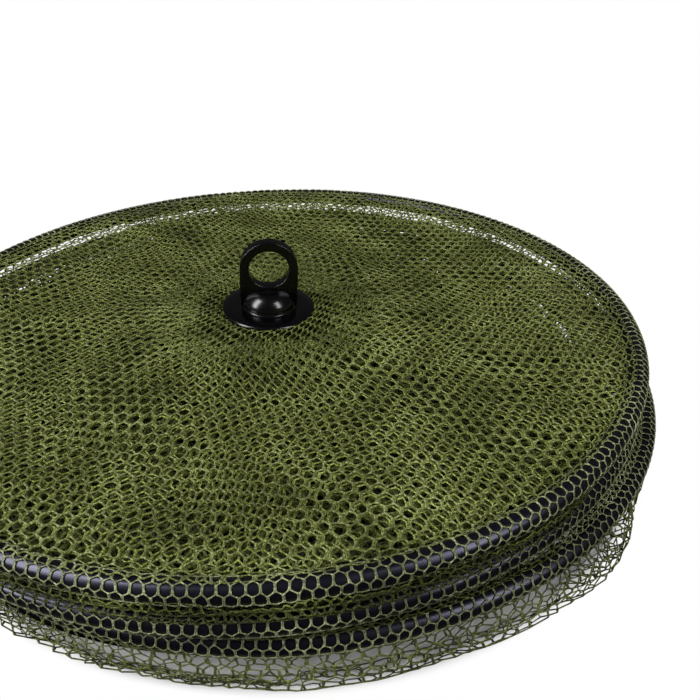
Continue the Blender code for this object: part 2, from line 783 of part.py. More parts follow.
def make_stud():
    start = collar_face - STUD_SEAT_DEPTH + CLEARANCE
    end = collar_face + STUD_LENGTH
    profile = [
        (0.0, end),
        (STUD_RADIUS - STUD_CHAMFER, end),
        (STUD_RADIUS, end - STUD_CHAMFER),
        (STUD_RADIUS, start),
        (STUD_SHANK_RADIUS, start),
        (STUD_SHANK_RADIUS, collar_face - STUD_SHANK_LENGTH),
        (0.0, collar_face - STUD_SHANK_LENGTH),
    ]
    stud = turned("bank_stick_stud", profile, SMALL_TURN_STEPS)
    stud.rotation_euler = outwards
    stud.location = pivot
    as_part(stud, "bank_stick_stud", brass)


# Pivot bolt through the ears and the knob that locks the arm's tilt

ear_face = ear_span / 2 + CLEARANCE  # from the pivot to the knob's and the bolt head's faces
sideways = (0.0, math.radians(90), 0.0)  # lays a turned piece's Z along +X
bolt_end = ear_face + KNOB_THICKNESS - KNOB_CAP


def make_bolt():
    edge = BOLT_HEAD_HEIGHT / 3
    head_end = -ear_face - BOLT_HEAD_HEIGHT
    profile = [
        (0.0, bolt_end),
        (BOLT_RADIUS, bolt_end),
        (BOLT_RADIUS, -ear_face),
        (BOLT_HEAD_RADIUS, -ear_face),
        (BOLT_HEAD_RADIUS, head_end + edge),
        (BOLT_HEAD_RADIUS - edge, head_end),
        (0.0, head_end),
    ]
    bolt = turned("pivot_bolt", profile, SMALL_TURN_STEPS)
    bolt.rotation_euler = sideways
    bolt.location = pivot
    as_part(bolt, "pivot_bolt", plated_steel)


def make_knob():
    """A lobed knob, whose bore takes the end of the bolt."""
    steps = KNOB_LOBES * ARC_STEPS
    outline = []
    for step in range(steps):
        angle = 2 * math.pi * step / steps
        radius = KNOB_RADIUS - KNOB_LOBE * (1 - math.cos(KNOB_LOBES * angle)) / 2
        outline.append((radius * math.cos(angle), radius * math.sin(angle)))
    knob = slab("lock_knob", [outline], KNOB_THICKNESS, BLOCK_ROUNDING)
    middle = Vector((ear_face + KNOB_THICKNESS / 2, 0.0, 0.0))
    knob.data.transform(Matrix.Translation((0.0, 0.0, middle.x)))
    knob.rotation_euler = sideways
    knob.location = pivot
    as_part(knob, "lock_knob", black_moulding)
    bore_end = pivot + Vector((bolt_end + CLEARANCE, 0.0, 0.0))
    cut(knob, rod("knob_bore", BOLT_RADIUS + CLEARANCE, pivot, bore_end))


def block_space():
    """The room that the lowest wall leaves round the block, its ears and the bolt."""
    margin = Vector((CLEARANCE * 3, CLEARANCE * 3, 0.0))
    low = block_place - Vector((BLOCK_LENGTH / 2, block_reach, OVERRUN)) - margin
    high = block_place + Vector((BLOCK_LENGTH / 2, pivot_reach * 2, block_top + CLEARANCE)) + margin
    return box("block_space", low, high)


def arm_space():
    """The room that the lowest wall leaves for the arm when it stands up."""
    margin = Vector((CLEARANCE * 3, CLEARANCE * 3, OVERRUN))
    low = pivot - Vector((COLLAR_RADIUS, COLLAR_RADIUS, pivot.z)) - margin
    high = pivot + Vector((COLLAR_RADIUS, COLLAR_RADIUS, MOUTH_TO_HOOP)) + margin
    return box("arm_space", low, high)


for number, (ring, joint_angle) in enumerate(zip(hoops, JOINT_ANGLES), start=1):
    make_hoop(number, ring, joint_angle)
make_panel()
make_base_fitting()
make_walls([block_space(), arm_space()])
make_mouth_ring()
make_block()
make_ring_screws()
make_arm()
make_stud()
make_bolt()
make_knob()
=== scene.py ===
import math
import bpy
import bmesh
import numpy as np
from mathutils import Matrix, Vector


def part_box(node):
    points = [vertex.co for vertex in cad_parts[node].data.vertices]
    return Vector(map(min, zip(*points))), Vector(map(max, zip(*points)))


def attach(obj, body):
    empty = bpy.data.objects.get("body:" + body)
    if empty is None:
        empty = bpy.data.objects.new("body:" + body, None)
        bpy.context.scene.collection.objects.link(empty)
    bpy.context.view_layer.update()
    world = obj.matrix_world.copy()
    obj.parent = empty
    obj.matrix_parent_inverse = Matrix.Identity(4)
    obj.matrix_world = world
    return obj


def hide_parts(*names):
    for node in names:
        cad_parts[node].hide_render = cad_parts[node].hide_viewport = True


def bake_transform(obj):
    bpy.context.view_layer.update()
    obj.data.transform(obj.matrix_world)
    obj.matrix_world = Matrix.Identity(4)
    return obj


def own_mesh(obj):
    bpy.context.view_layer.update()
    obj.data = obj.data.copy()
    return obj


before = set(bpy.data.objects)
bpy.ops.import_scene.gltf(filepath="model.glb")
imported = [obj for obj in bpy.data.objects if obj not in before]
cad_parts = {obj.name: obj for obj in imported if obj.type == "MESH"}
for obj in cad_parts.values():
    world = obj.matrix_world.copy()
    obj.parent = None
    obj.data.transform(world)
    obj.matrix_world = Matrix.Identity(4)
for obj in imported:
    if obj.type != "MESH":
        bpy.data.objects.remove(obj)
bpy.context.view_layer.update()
print("CAD frame loaded,", len(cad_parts), "nodes")


# camera, floor and light

cameraPlan = {
    "place": (-0.009, -0.5063, 0.3378),
    "yaw": 0.11639,  # to the right, in radians
    "pitch": 0.540111,  # down
    "roll": -0.0085464,
    "lens": 40.716,  # mm
    "sensor": 36,
    "near": 0.01,
}


def linked(name, data):
    thing = bpy.data.objects.new(name, data)
    bpy.context.scene.collection.objects.link(thing)
    return thing


def makeCamera(plan):
    yaw, pitch, roll = plan["yaw"], plan["pitch"], plan["roll"]
    forward = Vector((
        math.sin(yaw) * math.cos(pitch), math.cos(yaw) * math.cos(pitch), -math.sin(pitch)))
    level = Vector((math.cos(yaw), -math.sin(yaw), 0))
    upright = level.cross(forward)
    right = level * math.cos(roll) + upright * math.sin(roll)
    up = upright * math.cos(roll) - level * math.sin(roll)
    data = bpy.data.cameras.new("photoCamera")
    data.lens = plan["lens"]
    data.sensor_width = plan["sensor"]
    data.clip_start = plan["near"]
    camera = linked("photoCamera", data)
    turn = Matrix((right, up, -forward)).transposed().to_4x4()
    camera.matrix_world = Matrix.Translation(plan["place"]) @ turn
    bpy.context.scene.camera = camera


def linear(hexColour):
    # an sRGB colour as linear light, opaque
    parts = [int(hexColour[i:i + 2], 16) / 255 for i in (1, 3, 5)]
    return (*(c / 12.92 if c <= 0.04045 else ((c + 0.055) / 1.055) ** 2.4 for c in parts), 1.0)


def addNode(tree, kind, settings=None):
    # each setting is the node's own or one of its inputs, and a socket is linked to its input
    node = tree.nodes.new(kind)
    for name, value in (settings or {}).items():
        if isinstance(value, bpy.types.NodeSocket):
            tree.links.new(value, node.inputs[name])
        elif isinstance(name, int) or name in node.inputs:
            node.inputs[name].default_value = value
        else:
            setattr(node, name, value)
    return node


def emptyTree(owner):
    owner.use_nodes = True
    owner.node_tree.nodes.clear()
    return owner.node_tree


def mixShaders(tree, share, first, second):
    mixed = addNode(tree, "ShaderNodeMixShader", {"Fac": share, 1: first, 2: second})
    return mixed.outputs[0]


stagePlan = {
    "floorSize": 14,
    "floorColour": "#efefef",
    "bounceColour": "#8c8c8c",  # the paper as the object's own light rays see it
    "mirrorColour": "#2a2a2c",  # and as its mirror rays do
    "whiteCentre": (0.0055, -0.017, 0),  # under the lowest hoop
    "whiteFrom": 0.238,
    "whiteTo": 0.251,
    "middle": (-0.01, -0.02, 0.09),  # what the softboxes face
    # degrees round +Z and above the floor
    "leftBox": {"towards": (-155, 34), "distance": 1.5, "size": (0.50, 1.40), "power": 30.5},
    "rightBox": {"towards": (-43, 30), "distance": 1.5, "size": (0.40, 1.0), "power": 12},
    "topBox": {"towards": (-90, 78), "distance": 1.8, "size": (1.5, 1.5), "power": 24},
    "worldStrength": 0.06,
}


def makeFloor(plan):
    bpy.ops.mesh.primitive_plane_add(size=plan["floorSize"])
    floor = bpy.context.object
    floor.name = "paperFloor"
    material = bpy.data.materials.new("whitePaper")
    tree = emptyTree(material)
    seen = addNode(tree, "ShaderNodeLightPath")
    place = addNode(tree, "ShaderNodeTexCoord")
    paper, bounce, mirror = (
        addNode(tree, "ShaderNodeBsdfDiffuse", {"Color": linear(plan[colour])})
        for colour in ("floorColour", "bounceColour", "mirrorColour"))
    # away from the object the camera sees plain white
    away = addNode(tree, "ShaderNodeVectorMath", {
        "operation": "DISTANCE", 0: place.outputs["Object"], 1: plan["whiteCentre"]})
    fade = addNode(tree, "ShaderNodeMapRange", {
        "interpolation_type": "SMOOTHSTEP", "Value": away.outputs["Value"],
        "From Min": plan["whiteFrom"], "From Max": plan["whiteTo"]})
    white = addNode(tree, "ShaderNodeEmission", {"Strength": 1.0})
    faded = mixShaders(tree, fade.outputs[0], paper.outputs[0], white.outputs[0])
    unseen = mixShaders(tree, seen.outputs["Is Glossy Ray"], bounce.outputs[0], mirror.outputs[0])
    mixed = mixShaders(tree, seen.outputs["Is Camera Ray"], unseen, faded)
    addNode(tree, "ShaderNodeOutputMaterial", {"Surface": mixed})
    floor.data.materials.append(material)


def makeSoftbox(name, plan, centre, mirrored):
    azimuth, height = (math.radians(angle) for angle in plan["towards"])
    away = Vector((
        math.cos(azimuth) * math.cos(height), math.sin(azimuth) * math.cos(height),
        math.sin(height)))
    data = bpy.data.lights.new(name, "AREA")
    data.shape = "RECTANGLE"
    data.size, data.size_y = plan["size"]
    data.energy = plan["power"]
    lamp = linked(name, data)
    lamp.location = centre + away * plan["distance"]
    lamp.rotation_euler = (-away).to_track_quat("-Z", "Y").to_euler()
    lamp.visible_glossy = mirrored


def makeWorld(plan):
    world = bpy.data.worlds.new("studio")
    bpy.context.scene.world = world
    tree = emptyTree(world)
    seen = addNode(tree, "ShaderNodeLightPath")
    dim, white = (
        addNode(tree, "ShaderNodeBackground", {"Color": (1, 1, 1, 1), "Strength": strength})
        for strength in (plan["worldStrength"], 1.0))
    mixed = mixShaders(tree, seen.outputs["Is Camera Ray"], dim.outputs[0], white.outputs[0])
    addNode(tree, "ShaderNodeOutputWorld", {"Surface": mixed})


def makeStage(plan):
    middle = Vector(plan["middle"])
    makeFloor(plan)
    for side in ("left", "right", "top"):
        makeSoftbox(f"{side}Softbox", plan[f"{side}Box"], middle, mirrored=side != "top")
    makeWorld(plan)
    bpy.context.scene.view_settings.view_transform = "Standard"


makeCamera(cameraPlan)
makeStage(stagePlan)
print("camera, floor and lights made")


# materials

netColours = {"shade": "#1f2203", "dye": "#4f5519", "pale": "#89905d"}
palerColours = {"shade": "#2e3218", "dye": "#5e633d", "pale": "#9a9e77"}  # paler: for the net over the tubes, and as painted light on the loose net at the front right
# painted shade on the net down the pile, layer by layer, painted light on the layer just under the
# panel, and the blue that is left in each
paintedShadeTones = ((1.38, 0.75), (0.78, 0.7), (0.48, 0.55), (0.32, 0.5), (0.24, 0.5), (0.19, 0.5))


def newMaterial(name, settings):
    material = bpy.data.materials.new(name)
    material.use_nodes = True
    tree = material.node_tree
    shader = tree.nodes["Principled BSDF"]
    for key, value in settings.items():
        shader.inputs[key].default_value = value
    return material, tree, shader


def ramp(tree, source, stops):
    node = addNode(tree, "ShaderNodeValToRGB", {"Fac": source})
    elements = node.color_ramp.elements
    while len(elements) < len(stops):
        elements.new(0.5)
    for element, (place, colour) in zip(elements, stops):
        element.position = place
        element.color = linear(colour)
    return node.outputs["Color"]


def noise(tree, scale, detail):
    # bumps a metre over the scale apart, by the piece's own coordinates
    place = addNode(tree, "ShaderNodeTexCoord")
    node = addNode(tree, "ShaderNodeTexNoise", {
        "Scale": scale, "Detail": detail, "Vector": place.outputs["Object"]})
    return node.outputs[0]


def calculated(tree, operation, *operands):
    node = addNode(tree, "ShaderNodeMath", {"operation": operation, **dict(enumerate(operands))})
    return node.outputs[0]


def multiplied(tree, colour, other):
    node = addNode(tree, "ShaderNodeMix", {
        "data_type": "RGBA", "blend_type": "MULTIPLY", 0: 1.0, 6: colour, 7: other})
    return node.outputs[2]


def varyGloss(tree, shader, source, low, high):
    gloss = addNode(tree, "ShaderNodeMapRange", {"Value": source, "To Min": low, "To Max": high})
    tree.links.new(gloss.outputs[0], shader.inputs["Roughness"])


def addRelief(tree, shader, height, strength, distance):
    bump = addNode(tree, "ShaderNodeBump", {
        "Strength": strength, "Distance": distance, "Height": height})
    tree.links.new(bump.outputs[0], shader.inputs["Normal"])


def knittedPolyester(name, colours, paintedTone=(1.0, 1.0, 1.0)):
    # Dyed multifilament yarn, knitted to a knotless mesh: matt, with a faint sheen where threads
    # turn.
    # The painted tone is painted shade for net deep in the pile, which also loses sheen and gloss
    # with it; above 1 it is painted light.
    gloss = min(1.0, paintedTone[0])
    material, tree, shader = newMaterial(name, {
        "Roughness": 0.5, "IOR": 1.48, "Sheen Weight": 0.08 * gloss, "Sheen Roughness": 0.4,
        "Specular IOR Level": 0.5 * gloss})
    strand = addNode(tree, "ShaderNodeUVMap", {"uv_map": "strand"})
    split = addNode(tree, "ShaderNodeSeparateXYZ", {0: strand.outputs[0]})
    across, along = split.outputs["X"], split.outputs["Y"]
    # dye patches about 40 mm wide, and fibre flecks about 1 mm long
    patches, flecks = noise(tree, 25, 2), noise(tree, 900, 2)
    # two yarns lie side by side in a joint: the yarns are painted a little lighter and the groove
    # between them painted dark, as painted light and shade, crossed by stitches; the same marks
    # give the relief
    offset = calculated(tree, "SUBTRACT", calculated(tree, "FRACT", across), 0.5)
    fromMiddle = calculated(tree, "ABSOLUTE", offset)
    crest = calculated(tree, "MULTIPLY_ADD", calculated(tree, "SINE", along), 0.5, 0.5)
    isJoint = calculated(tree, "LESS_THAN", across, 1.5)
    seam = addNode(tree, "ShaderNodeMapRange", {
        "interpolation_type": "SMOOTHSTEP", "Value": fromMiddle,
        "From Min": 0.05, "From Max": 0.22, "To Min": 0.30, "To Max": 1.15})
    ladderShadeAndRelief = calculated(tree, "MAXIMUM", seam.outputs[0], crest)
    joint = addNode(tree, "ShaderNodeMix", {"data_type": "FLOAT", 0: isJoint, 2: 1.0, 3: ladderShadeAndRelief})
    mottled = calculated(
        tree, "MULTIPLY_ADD", flecks, 0.7, calculated(tree, "MULTIPLY", patches, 0.3))
    colour = ramp(tree, mottled, [
        (0.34, colours["shade"]), (0.5, colours["dye"]), (0.66, colours["pale"])])
    # the layer's painted light and shade multiplies the dye
    paintedShadeColour = multiplied(tree, multiplied(tree, colour, joint.outputs[0]), (*paintedTone, 1.0))
    tree.links.new(paintedShadeColour, shader.inputs["Base Color"])
    addRelief(tree, shader, ladderShadeAndRelief, 0.5, 0.0003)
    return material


def mouldedNylon(name, colour, roughness):
    # Injection moulded nylon, black with a blue cast: glossy, with faint flow marks of about 6 mm
    material, tree, shader = newMaterial(name, {
        "Base Color": linear(colour), "Roughness": roughness, "IOR": 1.5})
    varyGloss(tree, shader, noise(tree, 160, 3), roughness - 0.05, roughness + 0.08)
    addRelief(tree, shader, noise(tree, 1800, 2), 0.08, 0.0002)
    return material


def extrudedTube(name, colour):
    # Extruded black plastic tube, bent to a ring: satin, rubbed in patches and finely scuffed
    material, tree, shader = newMaterial(name, {
        "Base Color": linear(colour), "Roughness": 0.30, "IOR": 1.5,
        "Specular Tint": linear("#dfe1ff")})
    varyGloss(tree, shader, noise(tree, 60, 4), 0.22, 0.38)
    addRelief(tree, shader, noise(tree, 900, 2), 0.1, 0.0002)
    return material


def machinedMetal(name, colour, roughness):
    # Plated or turned metal: bright, with marks of about 1 mm
    material, tree, shader = newMaterial(name, {
        "Base Color": linear(colour), "Metallic": 1.0, "Roughness": roughness})
    varyGloss(tree, shader, noise(tree, 900, 3), roughness - 0.08, roughness + 0.12)
    return material


netMaterial = knittedPolyester("knittedPolyesterOlive", netColours)
palerNetMaterial = knittedPolyester("knittedPolyesterTaut", palerColours)
paintedShadeMaterials = [
    knittedPolyester(f"knittedPolyesterDamp{step}", netColours, (paintedTone, paintedTone * 1.04, paintedTone * blue))
    for step, (paintedTone, blue) in enumerate(paintedShadeTones, start=1)]
mouldingMaterial = mouldedNylon("mouldedNylonBlack", "#010102", 0.20)
tubeMaterial = extrudedTube("extrudedTubeBlack", "#06060b")
steelMaterial = machinedMetal("zincPlatedSteel", "#c3c5c8", 0.28)
brassMaterial = machinedMetal("turnedBrass", "#c9a35a", 0.25)
slotMaterials = {
    "olive_net": netMaterial,
    "black_moulding": mouldingMaterial,
    "black_tube": tubeMaterial,
    "plated_steel": steelMaterial,
    "brass": brassMaterial,
}
print("materials made")


# the mesh fabric: six-sided cells knitted from twin-yarn joints and thinner links

stitches = 7500  # turns of the twin yarns' stitches, in radians to a metre
leastCover = 0.301  # of the rectangle, the least share of its area that coverOf gives; the least area that a sheet may state


def softNoise(x, y, seed):
    # smooth noise from -1 to 1, with its bumps about one unit apart, that repeats after 64
    table = np.random.default_rng(seed).uniform(-1, 1, (64, 64))
    column, row = np.floor(x).astype(int), np.floor(y).astype(int)
    fx, fy = x - column, y - row
    fx, fy = fx * fx * (3 - 2 * fx), fy * fy * (3 - 2 * fy)
    c0, c1, r0, r1 = column % 64, (column + 1) % 64, row % 64, (row + 1) % 64
    low = table[c0, r0] * (1 - fx) + table[c1, r0] * fx
    high = table[c0, r1] * (1 - fx) + table[c1, r1] * fx
    return low * (1 - fy) + high * fy


def smooth(t):
    t = np.clip(t, 0, 1)
    return t * t * (3 - 2 * t)


def pulledTight(x, y, a1, a2):
    # the net is drawn tight along one slant, less so in front, and along the other at the front
    # right: shares of a cell, by the place on the flat net
    most, less, other = 0.58, 0.38, 0.25
    right = smooth((x - 0.02) / 0.06) * smooth((-0.08 - y) / 0.05)
    front = smooth((-0.06 - y) / 0.08)
    slant, other = (most - less * front) * (1 - right), other * right
    return slant[..., None] * (a2 - a1) / 6 + other[..., None] * (2 * a1 + a2) / 6


def knitCells(plan, keep, around=0):
    # flat strands of every kept cell: points (u, v, height), quads and their strand UVs
    a1, a2 = np.array(plan["along"]), np.array(plan["across"])
    if around:
        rows = np.arange(-1, plan["rows"] + 1)
        i, j = np.meshgrid(np.arange(around), rows, indexing="ij")
    else:
        most = int(plan["reach"] / min(np.linalg.norm(a1), np.linalg.norm(a2)) * 1.25) + 3
        i, j = np.meshgrid(np.arange(-most, most + 1), np.arange(-most, most + 1), indexing="ij")
    centres = i[..., None] * a1 + j[..., None] * a2
    kept = keep(centres[..., 0], centres[..., 1])
    kept[:, 0] = kept[:, -1] = False
    if not around:
        kept[0] = kept[-1] = False

    def at(values, di, dj):
        return np.roll(values, (-di, -dj), axis=(0, 1))

    size = i.size
    nodeA = np.arange(size).reshape(i.shape)
    nodeB = nodeA + size
    # the three strands from a node A
    towards = [(a2 - a1) / 3, (2 * a1 + a2) / 3, (-a1 - 2 * a2) / 3]
    widths = [plan.get("cross", plan["link"]) / 2, plan["link"] / 2, plan["joint"] / 2]
    lengths = [np.linalg.norm(d) for d in towards]
    units = [d / length for d, length in zip(towards, lengths)]
    # each strand: kept, its A and B nodes, the corner slots left and right at A and at B, and
    # its middle from the cell's centre
    strands = [
        (kept | at(kept, 1, 1), nodeA, nodeB, (2, 4), (2, 3), (a1 + a2) / 2),
        (kept | at(kept, 0, 1), at(nodeA, -1, 0), nodeB, (4, 3), (4, 2), a2 / 2),
        (kept | at(kept, 1, 0), nodeA, at(nodeB, 0, -1), (3, 2), (3, 4), a1 / 2),
    ]

    # the strands at each side of a corner, by its slot, at the A and at the B nodes
    corners = ({2: (0, 2), 3: (2, 1), 4: (0, 1)}, {2: (0, 1), 3: (0, 2), 4: (1, 2)})

    random = np.random.default_rng(plan["seed"])
    shaken = random.normal(0, plan["shake"], (2 * size, 2))
    flat = centres.reshape(-1, 2)
    if around:
        pull = 0
    elif "straight" in plan:
        pull = -plan["straight"] * (a1 + 2 * a2) / 6
    else:
        pull = pulledTight(flat[:, 0], flat[:, 1], a1, a2) / 2
    bases = np.concatenate([
        flat + (2 * a1 + a2) / 3 - pull, flat + (a1 + 2 * a2) / 3 + pull]) + shaken
    points = np.zeros((2 * size, 5, 3))
    points[:, :, :2] = bases[:, None]
    points[:, 0, 2] = plan["rise"]
    points[:, 1, 2] = -plan["rise"]
    owns = (slice(0, size), slice(size, 2 * size))
    for own, sign, slots in zip(owns, (1, -1), corners):
        for slot, (e, f) in slots.items():
            cross = abs(units[e][0] * units[f][1] - units[e][1] * units[f][0])
            away = widths[f] * units[e] + widths[e] * units[f]
            points[own, slot, :2] += sign * plan["fillet"] * away / cross
    points = [points.reshape(-1, 3)]
    total = 10 * size
    quads, marks = [], []

    # the four faces round a strand, by its two ends and their slots (top, bottom, left, right)
    faces = (((0, 0), (1, 0), (1, 2), (0, 2)), ((1, 0), (0, 0), (0, 3), (1, 3)),
             ((0, 1), (0, 2), (1, 2), (1, 1)), ((1, 1), (1, 3), (0, 3), (0, 1)))
    offsets = (0.5, 0.5, 0, 1)

    def band(ends, shift, stretch):
        for face in faces:
            quads.append(np.stack([ends[end][slot] for end, slot in face], -1))
            uv = np.array([(shift + offsets[slot], stretch[end]) for end, slot in face])
            marks.append(np.broadcast_to(uv, (len(quads[-1]), 4, 2)))

    used = np.zeros(2 * size, bool)
    present = []
    for number, (isKept, startNode, endNode, atA, atB, half) in enumerate(strands):
        a, b = startNode[isKept], endNode[isKept]
        used[a] = used[b] = True
        present.append((a, b))
        endA = (a * 5, a * 5 + 1, a * 5 + atA[0], a * 5 + atA[1])
        endB = (b * 5, b * 5 + 1, b * 5 + atB[0], b * 5 + atB[1])
        turns = lengths[number] * stitches
        shift = 0 if number == 2 else 2  # the third strand is the twin-yarn joint
        if "waist" in plan:
            # a ring of four points halfway, so that the strand narrows between its knots
            side = np.array((-units[number][1], units[number][0])) * widths[number] * plan["waist"]
            middle = centres[isKept] + half + (shaken[a] + shaken[b]) / 2
            ring = np.zeros((len(a), 4, 3))
            ring[:, :, :2] = middle[:, None]
            ring[:, 0, 2] = plan["rise"] * plan["dip"]
            ring[:, 1, 2] = -plan["rise"] * plan["dip"]
            ring[:, 2, :2] += side
            ring[:, 3, :2] -= side
            first = total + 4 * np.arange(len(a))
            points.append(ring.reshape(-1, 3))
            total += 4 * len(a)
            centre = (first, first + 1, first + 2, first + 3)
            band((endA, centre), shift, (0, turns / 2))
            band((centre, endB), shift, (turns / 2, turns))
        else:
            band((endA, endB), shift, (0, turns))
    # close the cut ends along the border, at the A nodes and then at the B nodes
    for end, slots in enumerate((((2, 4), (4, 3), (3, 2)), ((3, 2), (2, 4), (4, 3)))):
        for number, (left, right) in enumerate(slots):
            missing = np.zeros(2 * size, bool)
            missing[owns[end]] = used[owns[end]]
            missing[present[number][end]] = False
            n = np.nonzero(missing)[0] * 5
            quads.append(np.stack([n, n + right, n + 1, n + left], -1))
            marks.append(np.full((len(n), 4, 2), 2.5))
    points, quads, marks = np.concatenate(points), np.concatenate(quads), np.concatenate(marks)
    met, quads = np.unique(quads, return_inverse=True)
    area = sum(len(a) * length * 2 * width
               for (a, b), length, width in zip(present, lengths, widths))
    return points[met], quads.reshape(-1, 4), marks, area


def netPiece(name, cells, place, body=None, material=netMaterial):
    points, quads, marks, _ = cells
    placed = place(*points.T)
    mesh = bpy.data.meshes.new(name)
    mesh.vertices.add(len(placed))
    mesh.vertices.foreach_set("co", placed.astype(np.float32).ravel())
    mesh.loops.add(quads.size)
    mesh.loops.foreach_set("vertex_index", quads.astype(np.int32).ravel())
    mesh.polygons.add(len(quads))
    mesh.polygons.foreach_set("loop_start", np.arange(0, quads.size, 4, dtype=np.int32))
    uvs = mesh.uv_layers.new(name="strand")
    uvs.data.foreach_set("uv", marks.astype(np.float32).ravel())
    mesh.update(calc_edges=True)
    mesh.validate()
    mesh.shade_smooth()
    mesh.materials.append(material)
    piece = linked(name, mesh)
    if body:
        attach(piece, body)
    print(name, len(quads) * 2, "triangles")
    return piece


def coverOf(cells, width, length):
    # the strands' own area, kept between the least share above and the whole rectangle;
    # between the least and the most that a sheet may state
    return float(np.clip(cells[3], leastCover * width * length, width * length))


def fitRound(radius, row, plan):
    # the plan with its pitch drawn to fit whole cells round a ring, and their count
    count = round(2 * math.pi * radius / plan["pitch"])
    pitch = 2 * math.pi * radius / count
    return count, {**plan, "along": (pitch, 0), "across": (-pitch / 2, row)}


def rowsKept(row, rows):
    return lambda u, v: (v > -row / 2) & (v < row * (rows - 0.5))


def ringOf(node, tube):
    low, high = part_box(node)
    centre = (np.array(low) + np.array(high)) / 2
    return {"centre": centre, "radius": (high[0] - low[0]) / 2 - tube, "tube": tube}


hoops = [ringOf(f"hoop_{number}", 0.0058) for number in (1, 2, 3)]
mouth = ringOf("mouth_ring", 0.0062)
hoopBodies = ["top_hoop", "middle_hoop", "lowest_hoop"]


def onSection(centre, angle, radius, height):
    # points by their angle and radius round a centre, at a height above the floor
    return np.stack([np.cos(angle) * radius + centre[0], np.sin(angle) * radius + centre[1],
                     np.broadcast_to(height, angle.shape)], -1)


# tubes of the rings

def finished(piece, name, material, slotName, body, *nodes):
    bpy.ops.object.select_all(action="DESELECT")
    piece.select_set(True)
    bpy.context.view_layer.objects.active = piece
    bpy.ops.object.transform_apply()
    piece.name = name
    piece.data.name = name
    piece.data.materials.clear()
    piece.data.materials.append(material)
    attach(piece, body)
    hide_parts(*nodes)


def makeTube(name, ring, body, node):
    bpy.ops.mesh.primitive_torus_add(
        major_segments=360, minor_segments=28, major_radius=ring["radius"],
        minor_radius=min(ring["tube"], ring["centre"][2]), location=tuple(ring["centre"]))
    bpy.ops.object.shade_smooth()
    finished(bpy.context.object, name, tubeMaterial, "black_tube", body, node)


for number, (hoop, body) in enumerate(zip(hoops, hoopBodies), start=1):
    makeTube(f"hoopTube{number}", hoop, body, f"hoop_{number}")
makeTube("mouthTube", mouth, "mouth", "mouth_ring")
print("tubes made")


# base eye

eyePlan = {
    "base": (-0.0083, -0.0215, 0.0834),  # middle of the flange's underside
    # radius and height of the turned outline, from the middle of its underside to the dome's foot
    "outline": [(0.0, 0.0), (0.0300, 0.0), (0.0309, 0.0003), (0.03125, 0.0011), (0.0310, 0.0019),
                (0.0303, 0.0024), (0.0240, 0.0028), (0.0205, 0.0029), (0.0188, 0.0030),
                (0.0181, 0.0032), (0.0178, 0.0036), (0.0177, 0.0044)],
    "dome": {"radius": 0.0176, "foot": 0.0046, "height": 0.0124, "full": 0.9, "steps": 22},
    "bar": {"foot": 0.0010, "radius": 0.0193, "middle": 0.0312, "hole": 0.0133, "depth": 0.0080,
            "edge": 0.0026},
    "lean": (2.7, 3.4),  # degrees, on the slack net: towards the camera, and to the right
}


def applied(piece, kind, **settings):
    bpy.context.view_layer.objects.active = piece
    modifier = piece.modifiers.new(kind, kind)
    for key, value in settings.items():
        setattr(modifier, key, value)
    bpy.ops.object.modifier_apply(modifier=modifier.name)


def cutWith(piece, tool):
    bpy.context.view_layer.update()
    applied(piece, "BOOLEAN", operation="DIFFERENCE", object=tool)
    bpy.data.objects.remove(tool)


def bevelled(piece, width, segments, above=40):
    applied(piece, "BEVEL", width=width, segments=segments, limit_method="ANGLE",
            angle_limit=math.radians(above))


def joined(first, *others, sharp=35):
    bpy.ops.object.select_all(action="DESELECT")
    for piece in (first, *others):
        piece.select_set(True)
    bpy.context.view_layer.objects.active = first
    bpy.ops.object.transform_apply()
    bpy.ops.object.join()
    bpy.ops.object.shade_smooth_by_angle(angle=math.radians(sharp))
    return first


def lineThrough(points):
    # a chain of edges through points (radius, height), drawn out from one vertex
    bpy.ops.mesh.primitive_plane_add(size=1, calc_uvs=False)
    bpy.ops.object.mode_set(mode="EDIT")
    bpy.ops.mesh.select_mode(type="VERT")
    bpy.ops.mesh.select_all(action="SELECT")
    bpy.ops.mesh.merge(type="CENTER")
    bpy.ops.transform.translate(value=(points[0][0], 0, points[0][1]))
    for (r, z), (nextR, nextZ) in zip(points, points[1:]):
        bpy.ops.mesh.extrude_vertices_move(
            TRANSFORM_OT_translate={"value": (nextR - r, 0, nextZ - z)})
    bpy.ops.object.mode_set(mode="OBJECT")
    return bpy.context.object


